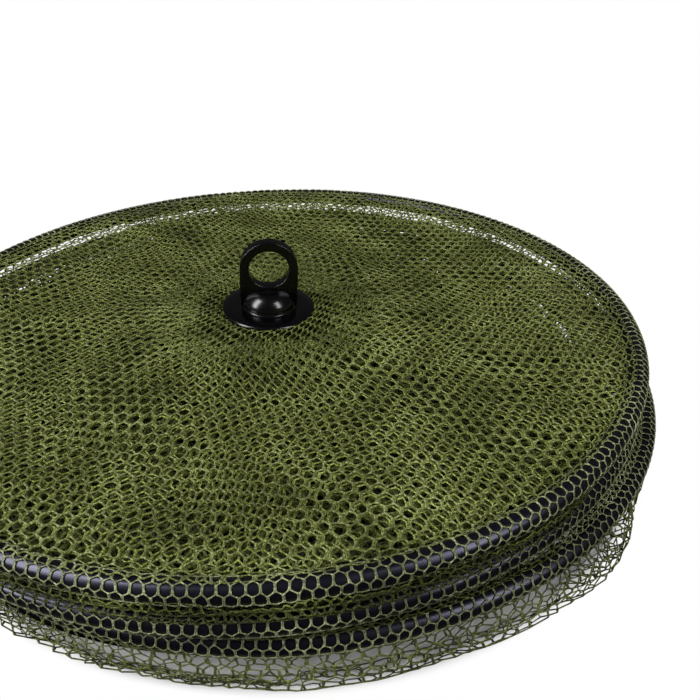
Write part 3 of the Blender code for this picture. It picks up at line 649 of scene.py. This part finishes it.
def makeEye(plan):
    dome, bar = plan["dome"], plan["bar"]
    outline = list(plan["outline"])
    for step in range(dome["steps"]):
        turn = math.pi / 2 * step / dome["steps"]
        outline.append((dome["radius"] * math.cos(turn) ** dome["full"],
                        dome["foot"] + dome["height"] * math.sin(turn)))
    outline.append((0.0, dome["foot"] + dome["height"]))
    turned = lineThrough(outline)
    bpy.ops.object.mode_set(mode="EDIT")
    bpy.ops.mesh.select_all(action="SELECT")
    bpy.ops.mesh.spin(steps=128, angle=2 * math.pi, center=(0, 0, 0), axis=(0, 0, 1))
    bpy.ops.mesh.remove_doubles(threshold=0.000002)
    bpy.ops.mesh.normals_make_consistent(inside=False)
    bpy.ops.object.mode_set(mode="OBJECT")

    # the bar is a slab whose two top edges are rounded until they meet in an arch
    tall = bar["middle"] + bar["radius"] - bar["foot"]
    bpy.ops.mesh.primitive_cube_add(size=1, location=(0, 0, bar["foot"] + tall / 2))
    loop = bpy.context.object
    loop.scale = (2 * bar["radius"], bar["depth"], tall)
    bpy.ops.object.transform_apply()
    bpy.ops.object.mode_set(mode="EDIT")
    bpy.ops.mesh.select_mode(type="EDGE")
    bpy.ops.mesh.select_all(action="DESELECT")
    slab = bmesh.from_edit_mesh(loop.data)
    for side in slab.edges:
        a, b = (corner.co for corner in side.verts)
        side.select = min(a.z, b.z) > bar["middle"] and abs(a.x - b.x) < 0.001
    bmesh.update_edit_mesh(loop.data)
    bpy.ops.mesh.bevel(offset=bar["radius"] * 0.9999, segments=48, profile=0.5)
    bpy.ops.object.mode_set(mode="OBJECT")
    bpy.ops.mesh.primitive_cylinder_add(
        vertices=96, radius=bar["hole"], depth=bar["depth"] * 2, location=(0, 0, bar["middle"]),
        rotation=(math.pi / 2, 0, 0))
    cutWith(loop, bpy.context.object)
    bevelled(loop, bar["edge"], 6, above=50)
    eye = joined(turned, loop, sharp=40)
    eye.rotation_euler = (*(math.radians(angle) for angle in plan["lean"]), 0)
    eye.location = plan["base"]
    finished(eye, "baseEye", mouldingMaterial, "black_moulding", "top_hoop", "base_eye")


makeEye(eyePlan)
print("base eye made")


# block fittings

studPlan = {
    "face": 0.25605,  # of the arm's collar
    "reach": 0.0143,
    "seat": 0.0009,
    "radius": 0.00476,  # 3/8 inch across
    "root": 0.0042,
    "pitch": 0.00127,
    "turns": 10,
    "foot": 11.4,  # of the thread below the stud's end, in pitches
    "edge": 0.0008,
}
knobPlan = {"radius": 0.0092, "lobes": 6, "scallop": 0.0058, "scallopDepth": 0.0011,
            "recess": (0.58, 0.0012), "edge": 0.0011}
screwPlan = {"head": 0.0020, "shank": 0.0015, "edge": 0.4, "turn": 0.4,
             "cross": (1.25, 0.26, 0.9)}  # by the head's radius, radius and height
pivotPlace = Vector((-0.019, 0.23995, 0.0113))


def makeStud(plan):
    # a stud with its thread, laid along +Y
    length = plan["reach"] + plan["seat"]
    bpy.ops.mesh.primitive_cylinder_add(
        vertices=48, radius=plan["root"], depth=length, location=(0, 0, length / 2))
    core = bpy.context.object
    bevelled(core, plan["edge"], 2)
    pitch, inside = plan["pitch"], plan["root"] - 0.0001
    thread = lineThrough([(inside, 0.0), (plan["radius"], pitch * 0.42),
                          (plan["radius"], pitch * 0.54), (inside, pitch * 0.96)])
    applied(thread, "SCREW", axis="Z", screw_offset=pitch, iterations=plan["turns"], steps=48,
            render_steps=48)
    thread.location = (0, 0, length - plan["foot"] * pitch)
    stud = joined(core, thread)
    stud.rotation_euler = (-math.pi / 2, 0, 0)
    stud.location = (pivotPlace.x, plan["face"] - plan["seat"], pivotPlace.z)
    finished(stud, "stickStud", brassMaterial, "brass", "arm", "bank_stick_stud")


def makeKnob(plan):
    low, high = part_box("lock_knob")
    thick = high.x - low.x
    bpy.ops.mesh.primitive_cylinder_add(vertices=96, radius=plan["radius"], depth=thick)
    knob = bpy.context.object
    out = plan["radius"] + plan["scallop"] - plan["scallopDepth"]
    for lobe in range(plan["lobes"]):
        turn = 2 * math.pi * (lobe + 0.5) / plan["lobes"]
        bpy.ops.mesh.primitive_cylinder_add(
            vertices=48, radius=plan["scallop"], depth=thick * 2,
            location=(out * math.cos(turn), out * math.sin(turn), 0))
        cutWith(knob, bpy.context.object)
    share, depth = plan["recess"]
    bpy.ops.mesh.primitive_cylinder_add(
        vertices=64, radius=plan["radius"] * share, depth=depth, location=(0, 0, thick / 2))
    cutWith(knob, bpy.context.object)
    bevelled(knob, plan["edge"], 4)
    bpy.ops.object.shade_smooth_by_angle(angle=math.radians(40))
    knob.rotation_euler = (0, math.pi / 2, 0)
    knob.location = ((low.x + high.x) / 2, pivotPlace.y, pivotPlace.z)
    finished(knob, "tiltKnob", mouldingMaterial, "black_moulding", "knob", "lock_knob")


def makeScrew(name, node, body, plan):
    # a pan-head screw with a cross recess, over the CAD screw's head and shank
    low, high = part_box(node)
    middle = (low + high) / 2
    radius = (high.x - low.x) / 2
    head = plan["head"]
    bpy.ops.mesh.primitive_cylinder_add(
        vertices=48, radius=radius, depth=head, location=(middle.x, middle.y, high.z - head / 2))
    screw = bpy.context.object
    bevelled(screw, head * plan["edge"], 4)
    long, wide, deep = plan["cross"]
    for turn in (plan["turn"], plan["turn"] + math.pi / 2):
        bpy.ops.mesh.primitive_cube_add(
            size=1, location=(middle.x, middle.y, high.z), rotation=(0, 0, turn))
        bpy.context.object.scale = (radius * long, radius * wide, head * deep)
        cutWith(screw, bpy.context.object)
    top = high.z - head * 0.9
    bpy.ops.mesh.primitive_cylinder_add(
        vertices=32, radius=plan["shank"], depth=top - low.z,
        location=(middle.x, middle.y, (low.z + top) / 2))
    screw = joined(screw, bpy.context.object)
    finished(screw, name, steelMaterial, "plated_steel", body, node)


makeStud(studPlan)
makeKnob(knobPlan)
for side in (1, 2):
    makeScrew(f"blockScrew{side}", f"ring_screw_{side}", "mouth", screwPlan)
print("block fittings made")


# end panel

panelPlan = {
    "along": (0.00762, -0.00204), "across": (-0.00219, 0.00877), "reach": 0.264, "joint": 0.00135,
    "link": 0.0011, "cross": 0.00095, "rise": 0.0005, "fillet": 1.55, "waist": 0.9, "dip": 0.9,
    "shake": 0.00024, "seed": 11, "edge": 0.252,
    "hole": 0.074,  # the gathered net fills it
    "ragged": 0.008, "flange": 0.0335, "rim": 0.2395,
    "heights": (0.0074, 0.0050),  # over the hoop's centre, at the flange and at the rim
    "sag": 0.0045,
    "yarn": 0.0008,  # over the tube
    "wander": (0.0022, 0.055),  # how far the rows wander, and over what length
    "pleats": 26, "pleatFrom": 0.031, "pleatReach": 0.020, "pleatTurn": 0.035, "pleatRise": 0.0013,
    # the cut net is gathered at the flange and the hoop: radius on the flat cut, and as sewn
    "cut": (0.055, 0.062, 0.072, 0.086, 0.104, 0.130, 0.160, 0.235, 0.246, 0.2525),
    "sewn": (0.0275, 0.0355, 0.0485, 0.0670, 0.0905, 0.1215, 0.1550, 0.2330, 0.2400, 0.2455),
    # the hem goes over the tube at the front left, half over it at the front right, and else
    # stops at its crest: from which turn, over how many degrees, and by what share
    "crest": 0.24, "hem": ((190, 12, 1.0), (262, 10, -0.5), (335, 12, -0.5)),
}


def panelHeight(r):
    # down from the flange, slack in the middle of its span, and up onto the hoop
    plan = panelPlan
    share = np.clip((r - plan["flange"]) / (plan["rim"] - plan["flange"]), 0, 1)
    low, high = plan["heights"]
    slack = low + (high - low) * share - plan["sag"] * np.sin(math.pi * share) ** 2
    reach = hoops[0]["tube"] + plan["yarn"]
    onTube = np.sqrt(np.maximum(reach ** 2 - (r - hoops[0]["radius"]) ** 2, 0))
    return np.where(r > plan["rim"], onTube, slack)


def panelRipple(x, y):
    return softNoise(x / 0.028, y / 0.045 + 3, 6) * 0.0010


def raggedHem(angle):
    # the uneven line where the gathered net meets the panel, from -1 to 1
    return softNoise(angle * 2.6 + 9, angle * 0, 15)


def placePanel(u, v, h):
    plan = panelPlan
    most, length = plan["wander"]
    wanderX = softNoise(u / length + 7, v / length, 3) * most
    wanderY = softNoise(u / length, v / length + 9, 4) * most
    u, v = u + wanderX, v + wanderY
    angle = np.arctan2(v, u)
    r = np.interp(np.hypot(u, v), plan["cut"], plan["sewn"])
    turn = np.degrees(angle) % 360
    over = sum(share * smooth((turn - start) / width) for start, width, share in plan["hem"])
    r = np.where(r > plan["crest"], plan["crest"] + (r - plan["crest"]) * over, r)
    out = r - plan["pleatFrom"]
    near = np.exp(-np.maximum(out, 0) / plan["pleatReach"])
    gather = np.sin(plan["pleats"] * angle + 2 * softNoise(angle * 3, r * 0 + 2, 5))
    angle = angle + plan["pleatTurn"] * near * gather
    z = panelHeight(r) + plan["pleatRise"] * near * gather * smooth(out / 0.01)
    ripple = panelRipple(u, v) + softNoise(u / 0.011 + 5, v / 0.011, 8) * 0.0004
    z = z + ripple * smooth((r - 0.04) / 0.03) * smooth((plan["rim"] - r) / 0.02)
    centre = hoops[0]["centre"]
    return onSection(centre, angle, r, centre[2] + z + h)


def panelKept(u, v):
    plan = panelPlan
    r, angle = np.hypot(u, v), np.arctan2(v, u)
    return (r < plan["edge"]) & (r > plan["hole"] + plan["ragged"] * raggedHem(angle))


panelCells = knitCells(panelPlan, panelKept)
panelNet = netPiece("endPanelNet", panelCells, placePanel, "top_hoop")
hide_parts("base_panel_net")
coverOf(panelCells, 0.504, 0.504)

gatherPlan = {
    "along": (0.0054, 0), "across": (-0.0027, 0.0050), "reach": 0.21, "joint": 0.00115,
    "link": 0.00105, "rise": 0.0004, "fillet": 1.1, "shake": 0.00020, "seed": 14, "straight": 0.30,
    "slant": (0.9, 5.5), "inner": 0.0285, "outer": 0.064,
    "hem": 0.012,  # beyond the outer radius, on the flat cut
    "ragged": 0.014, "spread": 0.12,
    # the flange presses into the net, which swells round it: the rise everywhere, the rest of it
    # at one side, and where that side is and how wide, in degrees
    "swell": (0.0014, 0.0015, 228, 38), "swellFrom": 0.0318, "swellTo": 0.036,
    "lie": 0.0004,  # over the panel
}


def makeGathers(plan):
    # the hem is bunched under the flange, and its small cells are drawn slantwise round it
    centre = hoops[0]["centre"]
    inner, outer = plan["inner"], plan["outer"]

    def drawn(u, v):
        v = v + plan["slant"][0] * u + plan["slant"][1] * u * u
        return np.hypot(u, v), np.arctan2(v, u)

    def keep(u, v):
        r, angle = drawn(u, v)
        return (r > inner) & (r < outer + plan["ragged"] * raggedHem(angle))

    def place(u, v, h):
        r, angle = drawn(u, v)
        r = inner + (r - inner) * (1 + plan["spread"] * smooth((r - inner) / (outer - inner)))
        angle = angle + 0.03 * softNoise(angle * 4, r * 90, 16)
        turn = np.degrees(angle) % 360
        rise, more, side, width = plan["swell"]
        swell = rise + more * np.exp(-((turn - side) / width) ** 2)
        swell = swell * smooth((r - plan["swellFrom"]) / 0.002)
        swell = swell * (1 - smooth((r - plan["swellTo"]) / 0.02))
        lie = swell + plan["lie"] * smooth((r - 0.04) / 0.02)
        ripple = panelRipple(r * np.cos(angle), r * np.sin(angle)) * smooth((r - 0.04) / 0.03)
        return onSection(centre, angle, r, centre[2] + panelHeight(r) + lie + ripple + h)

    cells = knitCells(plan, keep)
    # its material is painted darker than the panel, as painted shade round the flange
    piece = netPiece("gatheredNet", cells, place, "top_hoop", paintedShadeMaterials[1])
    side = 2 * (outer + plan["hem"])
    coverOf(cells, side, side)


makeGathers(gatherPlan)
print("end panel made")


# folded net under the panel, layer by layer: the upper two are gathered round the eye as it is

foldPlans = [
    {"along": (0.0073, -0.0022), "across": (-0.0024, 0.0085), "depth": 0.0018, "edge": 0.239,
     "gap": 0.0, "wander": 0.0025, "wave": 0.0014, "joint": 0.0014, "link": 0.0011,
     "cross": 0.0010, "gathered": True},
    {"along": (0.0066, -0.0040), "across": (0.0002, 0.0072), "depth": 0.0052, "edge": 0.240,
     "gap": 0.034, "wander": 0.0045, "wave": 0.0026, "joint": 0.0018, "link": 0.0013,
     "gathered": True},
    {"along": (0.0075, 0.0030), "across": (-0.0058, 0.0054), "depth": 0.0100, "edge": 0.228,
     "gap": 0.025, "wave": 0.0030, "joint": 0.0028, "link": 0.0024},
    {"along": (0.0062, -0.0012), "across": (-0.0021, 0.0066), "depth": 0.0160, "edge": 0.226,
     "gap": 0.023, "wave": 0.0035, "joint": 0.0034, "link": 0.0030},
    {"along": (0.0066, 0.0022), "across": (-0.0050, 0.0052), "depth": 0.0230, "edge": 0.226,
     "gap": 0.023, "wave": 0.0040, "joint": 0.0036, "link": 0.0032},
    {"along": (0.0070, -0.0031), "across": (-0.0006, 0.0071), "depth": 0.0310, "edge": 0.224,
     "gap": 0.021, "wave": 0.0040, "joint": 0.0036, "link": 0.0032},
]
# where the folds hang back from the rim: first and last degree, and the share of their gap
thinArcs = ((342, 28, 1.15), (46, 68, 0.8), (121, 154, 1.0))
foldYarn = {"reach": 0.25, "rise": 0.00045, "fillet": 1.1, "shake": 0.00045, "wander": 0.005}
foldShape = {
    "fade": 4,  # degrees, at each side of an arc's end
    "ragged": 0.003,
    "lengths": (0.045, 0.024),  # over which a layer wanders, and of its waves
    "most": 0.2455,  # the gathered layers' widest radius on the flat cut
    "within": 0.2372,  # inside the tube
}


def makeFold(number, plan):
    shape = foldShape
    plan = {**foldYarn, **plan, "seed": 20 + number}
    seed, centre = plan["seed"], hoops[0]["centre"]
    hole = panelPlan["hole"] if "gathered" in plan else 0

    def edgeAt(angle):
        turn, fade = np.degrees(angle) % 360, shape["fade"]
        thin = 0
        for first, last, share in thinArcs:
            into = (turn - first + 40) % 360 - 40
            left = (last - first) % 360 - into
            begun, ending = (smooth((way + fade) / (2 * fade)) for way in (into, left))
            thin = thin + share * begun * ending
        ragged = shape["ragged"] * softNoise(angle * 5 + 5, angle * 0 + number, 31)
        return plan["edge"] - plan["gap"] * thin + ragged

    def keep(u, v):
        r = np.hypot(u, v)
        return (r < edgeAt(np.arctan2(v, u))) & (r >= hole)

    def place(u, v, h):
        length, waveLength = shape["lengths"]
        x = u + softNoise(u / length, v / length, seed) * plan["wander"]
        y = v + softNoise(u / length + 9, v / length + 4, seed) * plan["wander"]
        r, angle = np.hypot(x, y), np.arctan2(y, x)
        if "gathered" in plan:
            r = np.interp(np.minimum(r, shape["most"]), panelPlan["cut"], panelPlan["sewn"])
        r = np.minimum(r, shape["within"])
        wave = softNoise(u / waveLength + 3, v / waveLength, seed + 40) * plan["wave"]
        z = panelHeight(r) - plan["depth"] + wave * 0.6
        return onSection(centre, angle, r, centre[2] + z + h)

    cells = knitCells(plan, keep)
    # each layer is painted darker the deeper it lies, as painted shade, and the first painted
    # lighter, as painted light
    piece = netPiece(f"foldedNet{number}", cells, place, "top_hoop", paintedShadeMaterials[number - 1])
    side = 2 * plan["edge"]
    coverOf(cells, side, side)
    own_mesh(piece)


for number, plan in enumerate(foldPlans, start=1):
    makeFold(number, plan)
print("folded net made")


# sleeves round the hoops

sleevePlan = {
    "pitch": 0.0061, "rows": 6, "joint": 0.0013, "link": 0.00075, "rise": 0.00045, "fillet": 1.2,
    "waist": 0.8, "dip": 0.85, "shake": 0.0002,
    "stand": 0.0005,  # yarn above the tube
    "starts": (-178, -155, -160),  # degrees round each tube, from outside
    "wrap": 305,
    # how the rows twist round the tube: by how much, how often, and with which draw
    "twists": ((0.08, 9, 3, 60), (0.42, 1.9, 6, 63)),
}


def makeSleeve(number, hoop, body):
    plan = sleevePlan
    radius, centre = hoop["radius"], hoop["centre"]
    reach = hoop["tube"] + plan["stand"]
    start = math.radians(plan["starts"][number - 1])
    span = math.radians(plan["wrap"]) * reach
    row = span / plan["rows"]
    count, settings = fitRound(radius, row, {**plan, "seed": 50 + number})

    def place(u, v, h):
        angle = u / radius + 0.7 * number
        turn = start + (v + row / 2) / reach
        for most, often, shift, seed in plan["twists"]:
            turn = turn + most * softNoise(angle * often + shift, angle * 0 + 1, seed + number)
        out = reach + h
        return onSection(centre, angle, radius + out * np.cos(turn), centre[2] + out * np.sin(turn))

    cells = knitCells(settings, rowsKept(row, plan["rows"]), around=count)
    piece = netPiece(f"hoopSleeve{number}", cells, place, body, palerNetMaterial)
    length = 2 * math.pi * radius
    coverOf(cells, length, span)


for number, (hoop, body) in enumerate(zip(hoops, hoopBodies), start=1):
    makeSleeve(number, hoop, body)
print("sleeves made")


# net walls between the rings

wallYarn = {"pitch": 0.0090, "rows": 44, "joint": 0.0016, "link": 0.00115, "rise": 0.0005,
            "fillet": 1.1, "shake": 0.0004}
wallShape = {
    "lift": 0.34,  # the stroke of each ring's slide
    "inset": 0.003,  # from a ring's centreline to the seam
    "waist": 0.027,
    "crease": 0.0027,
    "creasePitch": 0.0100,
    "blockTurn": (96, 9, 13),  # degrees: the block, half the width kept free, and its fade
    "blockRise": (0.62, 0.3),  # share of the height to which it's kept free, and its fade
    "blockDent": 0.024,
}
wallPlans = [
    {"low": hoops[1], "high": hoops[0], "from": 0.0608, "to": 0.0690,
     "bodies": ("middle_hoop", "top_hoop")},
    {"low": hoops[2], "high": hoops[1], "from": 0.0403, "to": 0.0485,
     "bodies": ("lowest_hoop", "middle_hoop")},
    {"low": mouth, "high": hoops[2], "from": 0.0127, "to": 0.0275,
     "bodies": ("mouth", "lowest_hoop")},
]


def foldedHeight(stretched, low, high, lift):
    # the height at rest of a point, from its height when the wall is drawn out by the lift
    z = np.linspace(low, high, 4001)
    return np.interp(stretched, z + lift * smooth((z - low) / (high - low)), z)


def makeWall(number, plan):
    shape, rows = wallShape, wallYarn["rows"]
    low, high = plan["low"], plan["high"]
    mean = (low["radius"] + high["radius"]) / 2
    length = plan["to"] + shape["lift"] - plan["from"]
    row = length / (rows + 1 / 3)
    count, settings = fitRound(mean, row, {**wallYarn, "seed": 70 + number})

    def place(u, v, h):
        angle = u / mean
        s = np.clip((v + row * 2 / 3) / length, 0, 1)
        bow = 2 * np.sqrt(s * (1 - s) + 1e-9)
        waist = shape["waist"] * (1 + 0.35 * softNoise(angle * 1.6 + 2, s * 2, 80 + number))
        lines = s * length / shape["creasePitch"] + 1.5 * softNoise(angle * 4, s * 8, 84 + number)
        crease = shape["crease"] * np.sin(2 * math.pi * lines) * smooth(bow * 2)
        seam = low["radius"] * (1 - s) + high["radius"] * s - shape["inset"]
        r = seam - waist * bow + crease + h
        if low is mouth:
            # bent inwards to keep clear of the block
            middle, half, fade = shape["blockTurn"]
            top, topFade = shape["blockRise"]
            off = np.abs((np.degrees(angle) - middle + 180) % 360 - 180)
            dent = shape["blockDent"] * (1 - smooth((off - half) / fade))
            r = r - dent * (1 - smooth((s - top) / topFade))
        centre = [low["centre"][axis] * (1 - s) + high["centre"][axis] * s for axis in (0, 1)]
        z = foldedHeight(plan["from"] + s * length, plan["from"], plan["to"], shape["lift"])
        return onSection(centre, angle, r, z)

    cells = knitCells(settings, rowsKept(row, rows), around=count)
    piece = netPiece(f"wallNet{number}", cells, place)
    girth = float(2 * math.pi * mean)
    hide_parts(f"wall_net_{number}")
    coverOf(cells, girth, length)
    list(plan["bodies"])
    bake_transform(piece)


for number, plan in enumerate(wallPlans, start=1):
    makeWall(number, plan)
print("walls made")


# loose net that hangs out between the rings

looseYarn = {"joint": 0.0011, "link": 0.0008, "rise": 0.0004, "fillet": 1.2, "shake": 0.0006,
             "drift": 0.5}


def looseNet(name, hoop, plan, path, body, joint):
    # path takes an angle round the hoop in degrees and a share of the height, and gives r and z
    plan = {**looseYarn, **plan}
    row, rows, seed = plan["row"], plan["rows"], plan["seed"]
    count, settings = fitRound(hoop["radius"], row, plan)
    first, last = plan["from"], plan["to"]
    length = row * (rows + 1 / 3)

    def keep(u, v):
        turn = np.degrees(u / hoop["radius"]) % 360
        return ((turn - first) % 360 <= last - first) & rowsKept(row, rows)(u, v)

    def place(u, v, h):
        angle = u / hoop["radius"]
        turn = np.degrees(angle) % 360
        t = (v + row * 2 / 3) / length
        r, z = path(turn, t)
        # the yarn's own height stands at right angles to the path
        (r1, z1), (r2, z2) = path(turn, t - 0.01), path(turn, t + 0.01)
        dr, dz = r2 - r1, z2 - z1
        size = np.hypot(dr, dz) + 1e-9
        r, z = r + h * dz / size, z - h * dr / size
        angle = angle + plan["drift"] * 0.01 * softNoise(turn / 2.2, t * 3, seed + 3)
        return onSection(hoop["centre"], angle, r, np.maximum(z, 0.0006))

    cells = knitCells(settings, keep, around=count)
    piece = netPiece(name, cells, place, body, plan["material"])
    girth = float(math.radians(last - first) * hoop["radius"])
    coverOf(cells, girth, length)
    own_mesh(piece)


grooveShape = {
    "seat": (0.0058, 0.0062),  # under the upper hoop's middle, and over the lower one's
    "front": (226, 10, 316, 14),  # degrees between which it bulges, each with its fade
    "proud": (0.0050, 0.0022, 0.0006, 0.0046),
    "wander": (1.7, 2.3),
}
upperGroove = {"rows": 5, "follow": 0.6, "slide": "top_hoop_lift"}
# the loose net in the grooves is painted darker, as painted shade
groovePlans = [
    {"name": "grooveNet1", "from": 196, "to": 372, "pitch": 0.0052, "row": 0.0044, "seed": 91,
     "proud": 1, "out": -0.0002, "swing": 0.0012, "lift": 0.0010, "folds": 1.6,
     "material": paintedShadeMaterials[2]},
    {"name": "grooveNet2", "from": 186, "to": 376, "pitch": 0.0050, "row": 0.0042, "seed": 95,
     "rows": 6, "proud": 0.6, "out": -0.0026, "swing": 0.0018, "lift": 0.0012, "folds": 2.1,
     "material": paintedShadeMaterials[3]},
]
lowGroove = {"pitch": 0.0052, "row": 0.0040, "rows": 3, "proud": 0, "out": 0.0010,
             "follow": 0.75, "swing": 0.0006, "lift": 0.0004, "folds": 0.8,
             "slide": "middle_hoop_lift"}
# the low groove: painted shade round most of it, and at the front right the paler net as painted
# light, where light comes through between the lower hoops
lowGrooves = ((180, 304, paintedShadeMaterials[2]), (305, 378, palerNetMaterial))


def grooveNet(number, low, high, plan):
    # crumpled between two hoops: it leaves the upper hoop, folds on itself and meets the lower one,
    # and at the front it may bulge out over both tubes
    shape = grooveShape
    top = high["centre"][2] - shape["seat"][0]
    bottom = low["centre"][2] + shape["seat"][1]
    shift = low["centre"] - high["centre"]

    def path(turn, t):
        angle = np.radians(turn)
        first, firstFade, last, lastFade = shape["front"]
        proud = smooth((turn - first) / firstFade) * smooth((last - turn) / lastFade)
        proud = plan["proud"] * proud
        foot, more, below, above = shape["proud"]
        out = shift[0] * np.cos(angle) + shift[1] * np.sin(angle)
        wander = softNoise(turn / 7, turn * 0 + 2, plan["seed"] + 1)
        swing = 2 * math.pi * plan["folds"] * t
        r = high["radius"] + plan["out"] + out * (1 - t) * plan["follow"]
        r = r + proud * (foot + more * t)
        r = r + plan["swing"] * np.sin(swing + shape["wander"][0] * wander)
        z = bottom - below * proud + (top - bottom + above * proud) * t
        return r, z + plan["lift"] * np.sin(0.7 * swing + shape["wander"][1] * wander)

    looseNet(plan["name"], high, plan, path, hoopBodies[number - 1], plan["slide"])


for plan in groovePlans:
    grooveNet(1, hoops[1], hoops[0], {**upperGroove, **plan})
for number, (first, last, material) in enumerate(lowGrooves, start=3):
    grooveNet(2, hoops[2], hoops[1], {
        **lowGroove, "name": f"grooveNet{number}", "from": first, "to": last,
        "seed": 96 + number, "material": material})

# the loose skirt is painted darker, as painted shade
skirtPlan = {"from": 105, "to": 446, "rows": 5, "drift": 1.2, "material": paintedShadeMaterials[1]}
skirtLayers = (
    {"depth": 0.0, "pitch": 0.0088, "row": 0.0072, "seed": 111},
    {"depth": 0.0034, "pitch": 0.0080, "row": 0.0068, "seed": 117},
)
# how far the loose net stands out, by the angle round the lowest hoop
skirtOutline = (
    (0, 60, 85, 107, 150, 200, 235, 262, 285, 298, 303, 308, 313, 317, 321, 335, 360),
    (0.2475, 0.2480, 0.2470, 0.2470, 0.2490, 0.2510, 0.2530, 0.2520, 0.2530, 0.2545, 0.2562,
     0.2585, 0.2583, 0.2545, 0.2490, 0.2475, 0.2475),
)
# its path in three stretches, under the hem, up the outside and in to the hoop: shares of the
# path, and the heights there
skirtShares = np.array((0.0, 0.22, 0.45, 0.72, 1.0))
skirtHeights = (0.0012, 0.0016, 0.0120, 0.0215)


def skirtPath(depth, seed):
    hoop = hoops[2]
    heights = np.array((*skirtHeights, hoop["centre"][2] - hoop["tube"]))

    def path(turn, t):
        bulge = np.interp(turn, *skirtOutline) - depth
        bulge = bulge + 0.0016 * softNoise(turn / 4, t * 2.5, seed + 2)
        foot = bulge - 0.010 + 0.004 * softNoise(turn / 5, turn * 0, seed + 4)
        radii = np.stack([foot - 0.003, foot, bulge, bulge - 0.0015,
                          np.full_like(turn, hoop["radius"] + 0.0030)])
        t = np.clip(t, -0.1, 1.1)
        k = np.clip(np.digitize(t, skirtShares) - 1, 0, 3)
        f = (t - skirtShares[k]) / (skirtShares[k + 1] - skirtShares[k])
        f = np.clip(f, -0.3, 1.1)
        every = np.arange(len(t))
        r = radii[k, every] * (1 - f) + radii[k + 1, every] * f
        return r, heights[k] * (1 - f) + heights[k + 1] * f

    return path


for number, layer in enumerate(skirtLayers, start=1):
    looseNet(f"loosenedNet{number}", hoops[2], {**skirtPlan, **layer},
             skirtPath(layer["depth"], layer["seed"]), "lowest_hoop", "lowest_hoop_lift")
print("loose net made")


# the CAD solids that stay in sight get the same materials
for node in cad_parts.values():
    for index, held in enumerate(node.data.materials):
        for slotName, material in slotMaterials.items():
            if held and held.name.startswith(slotName):
                node.data.materials[index] = material
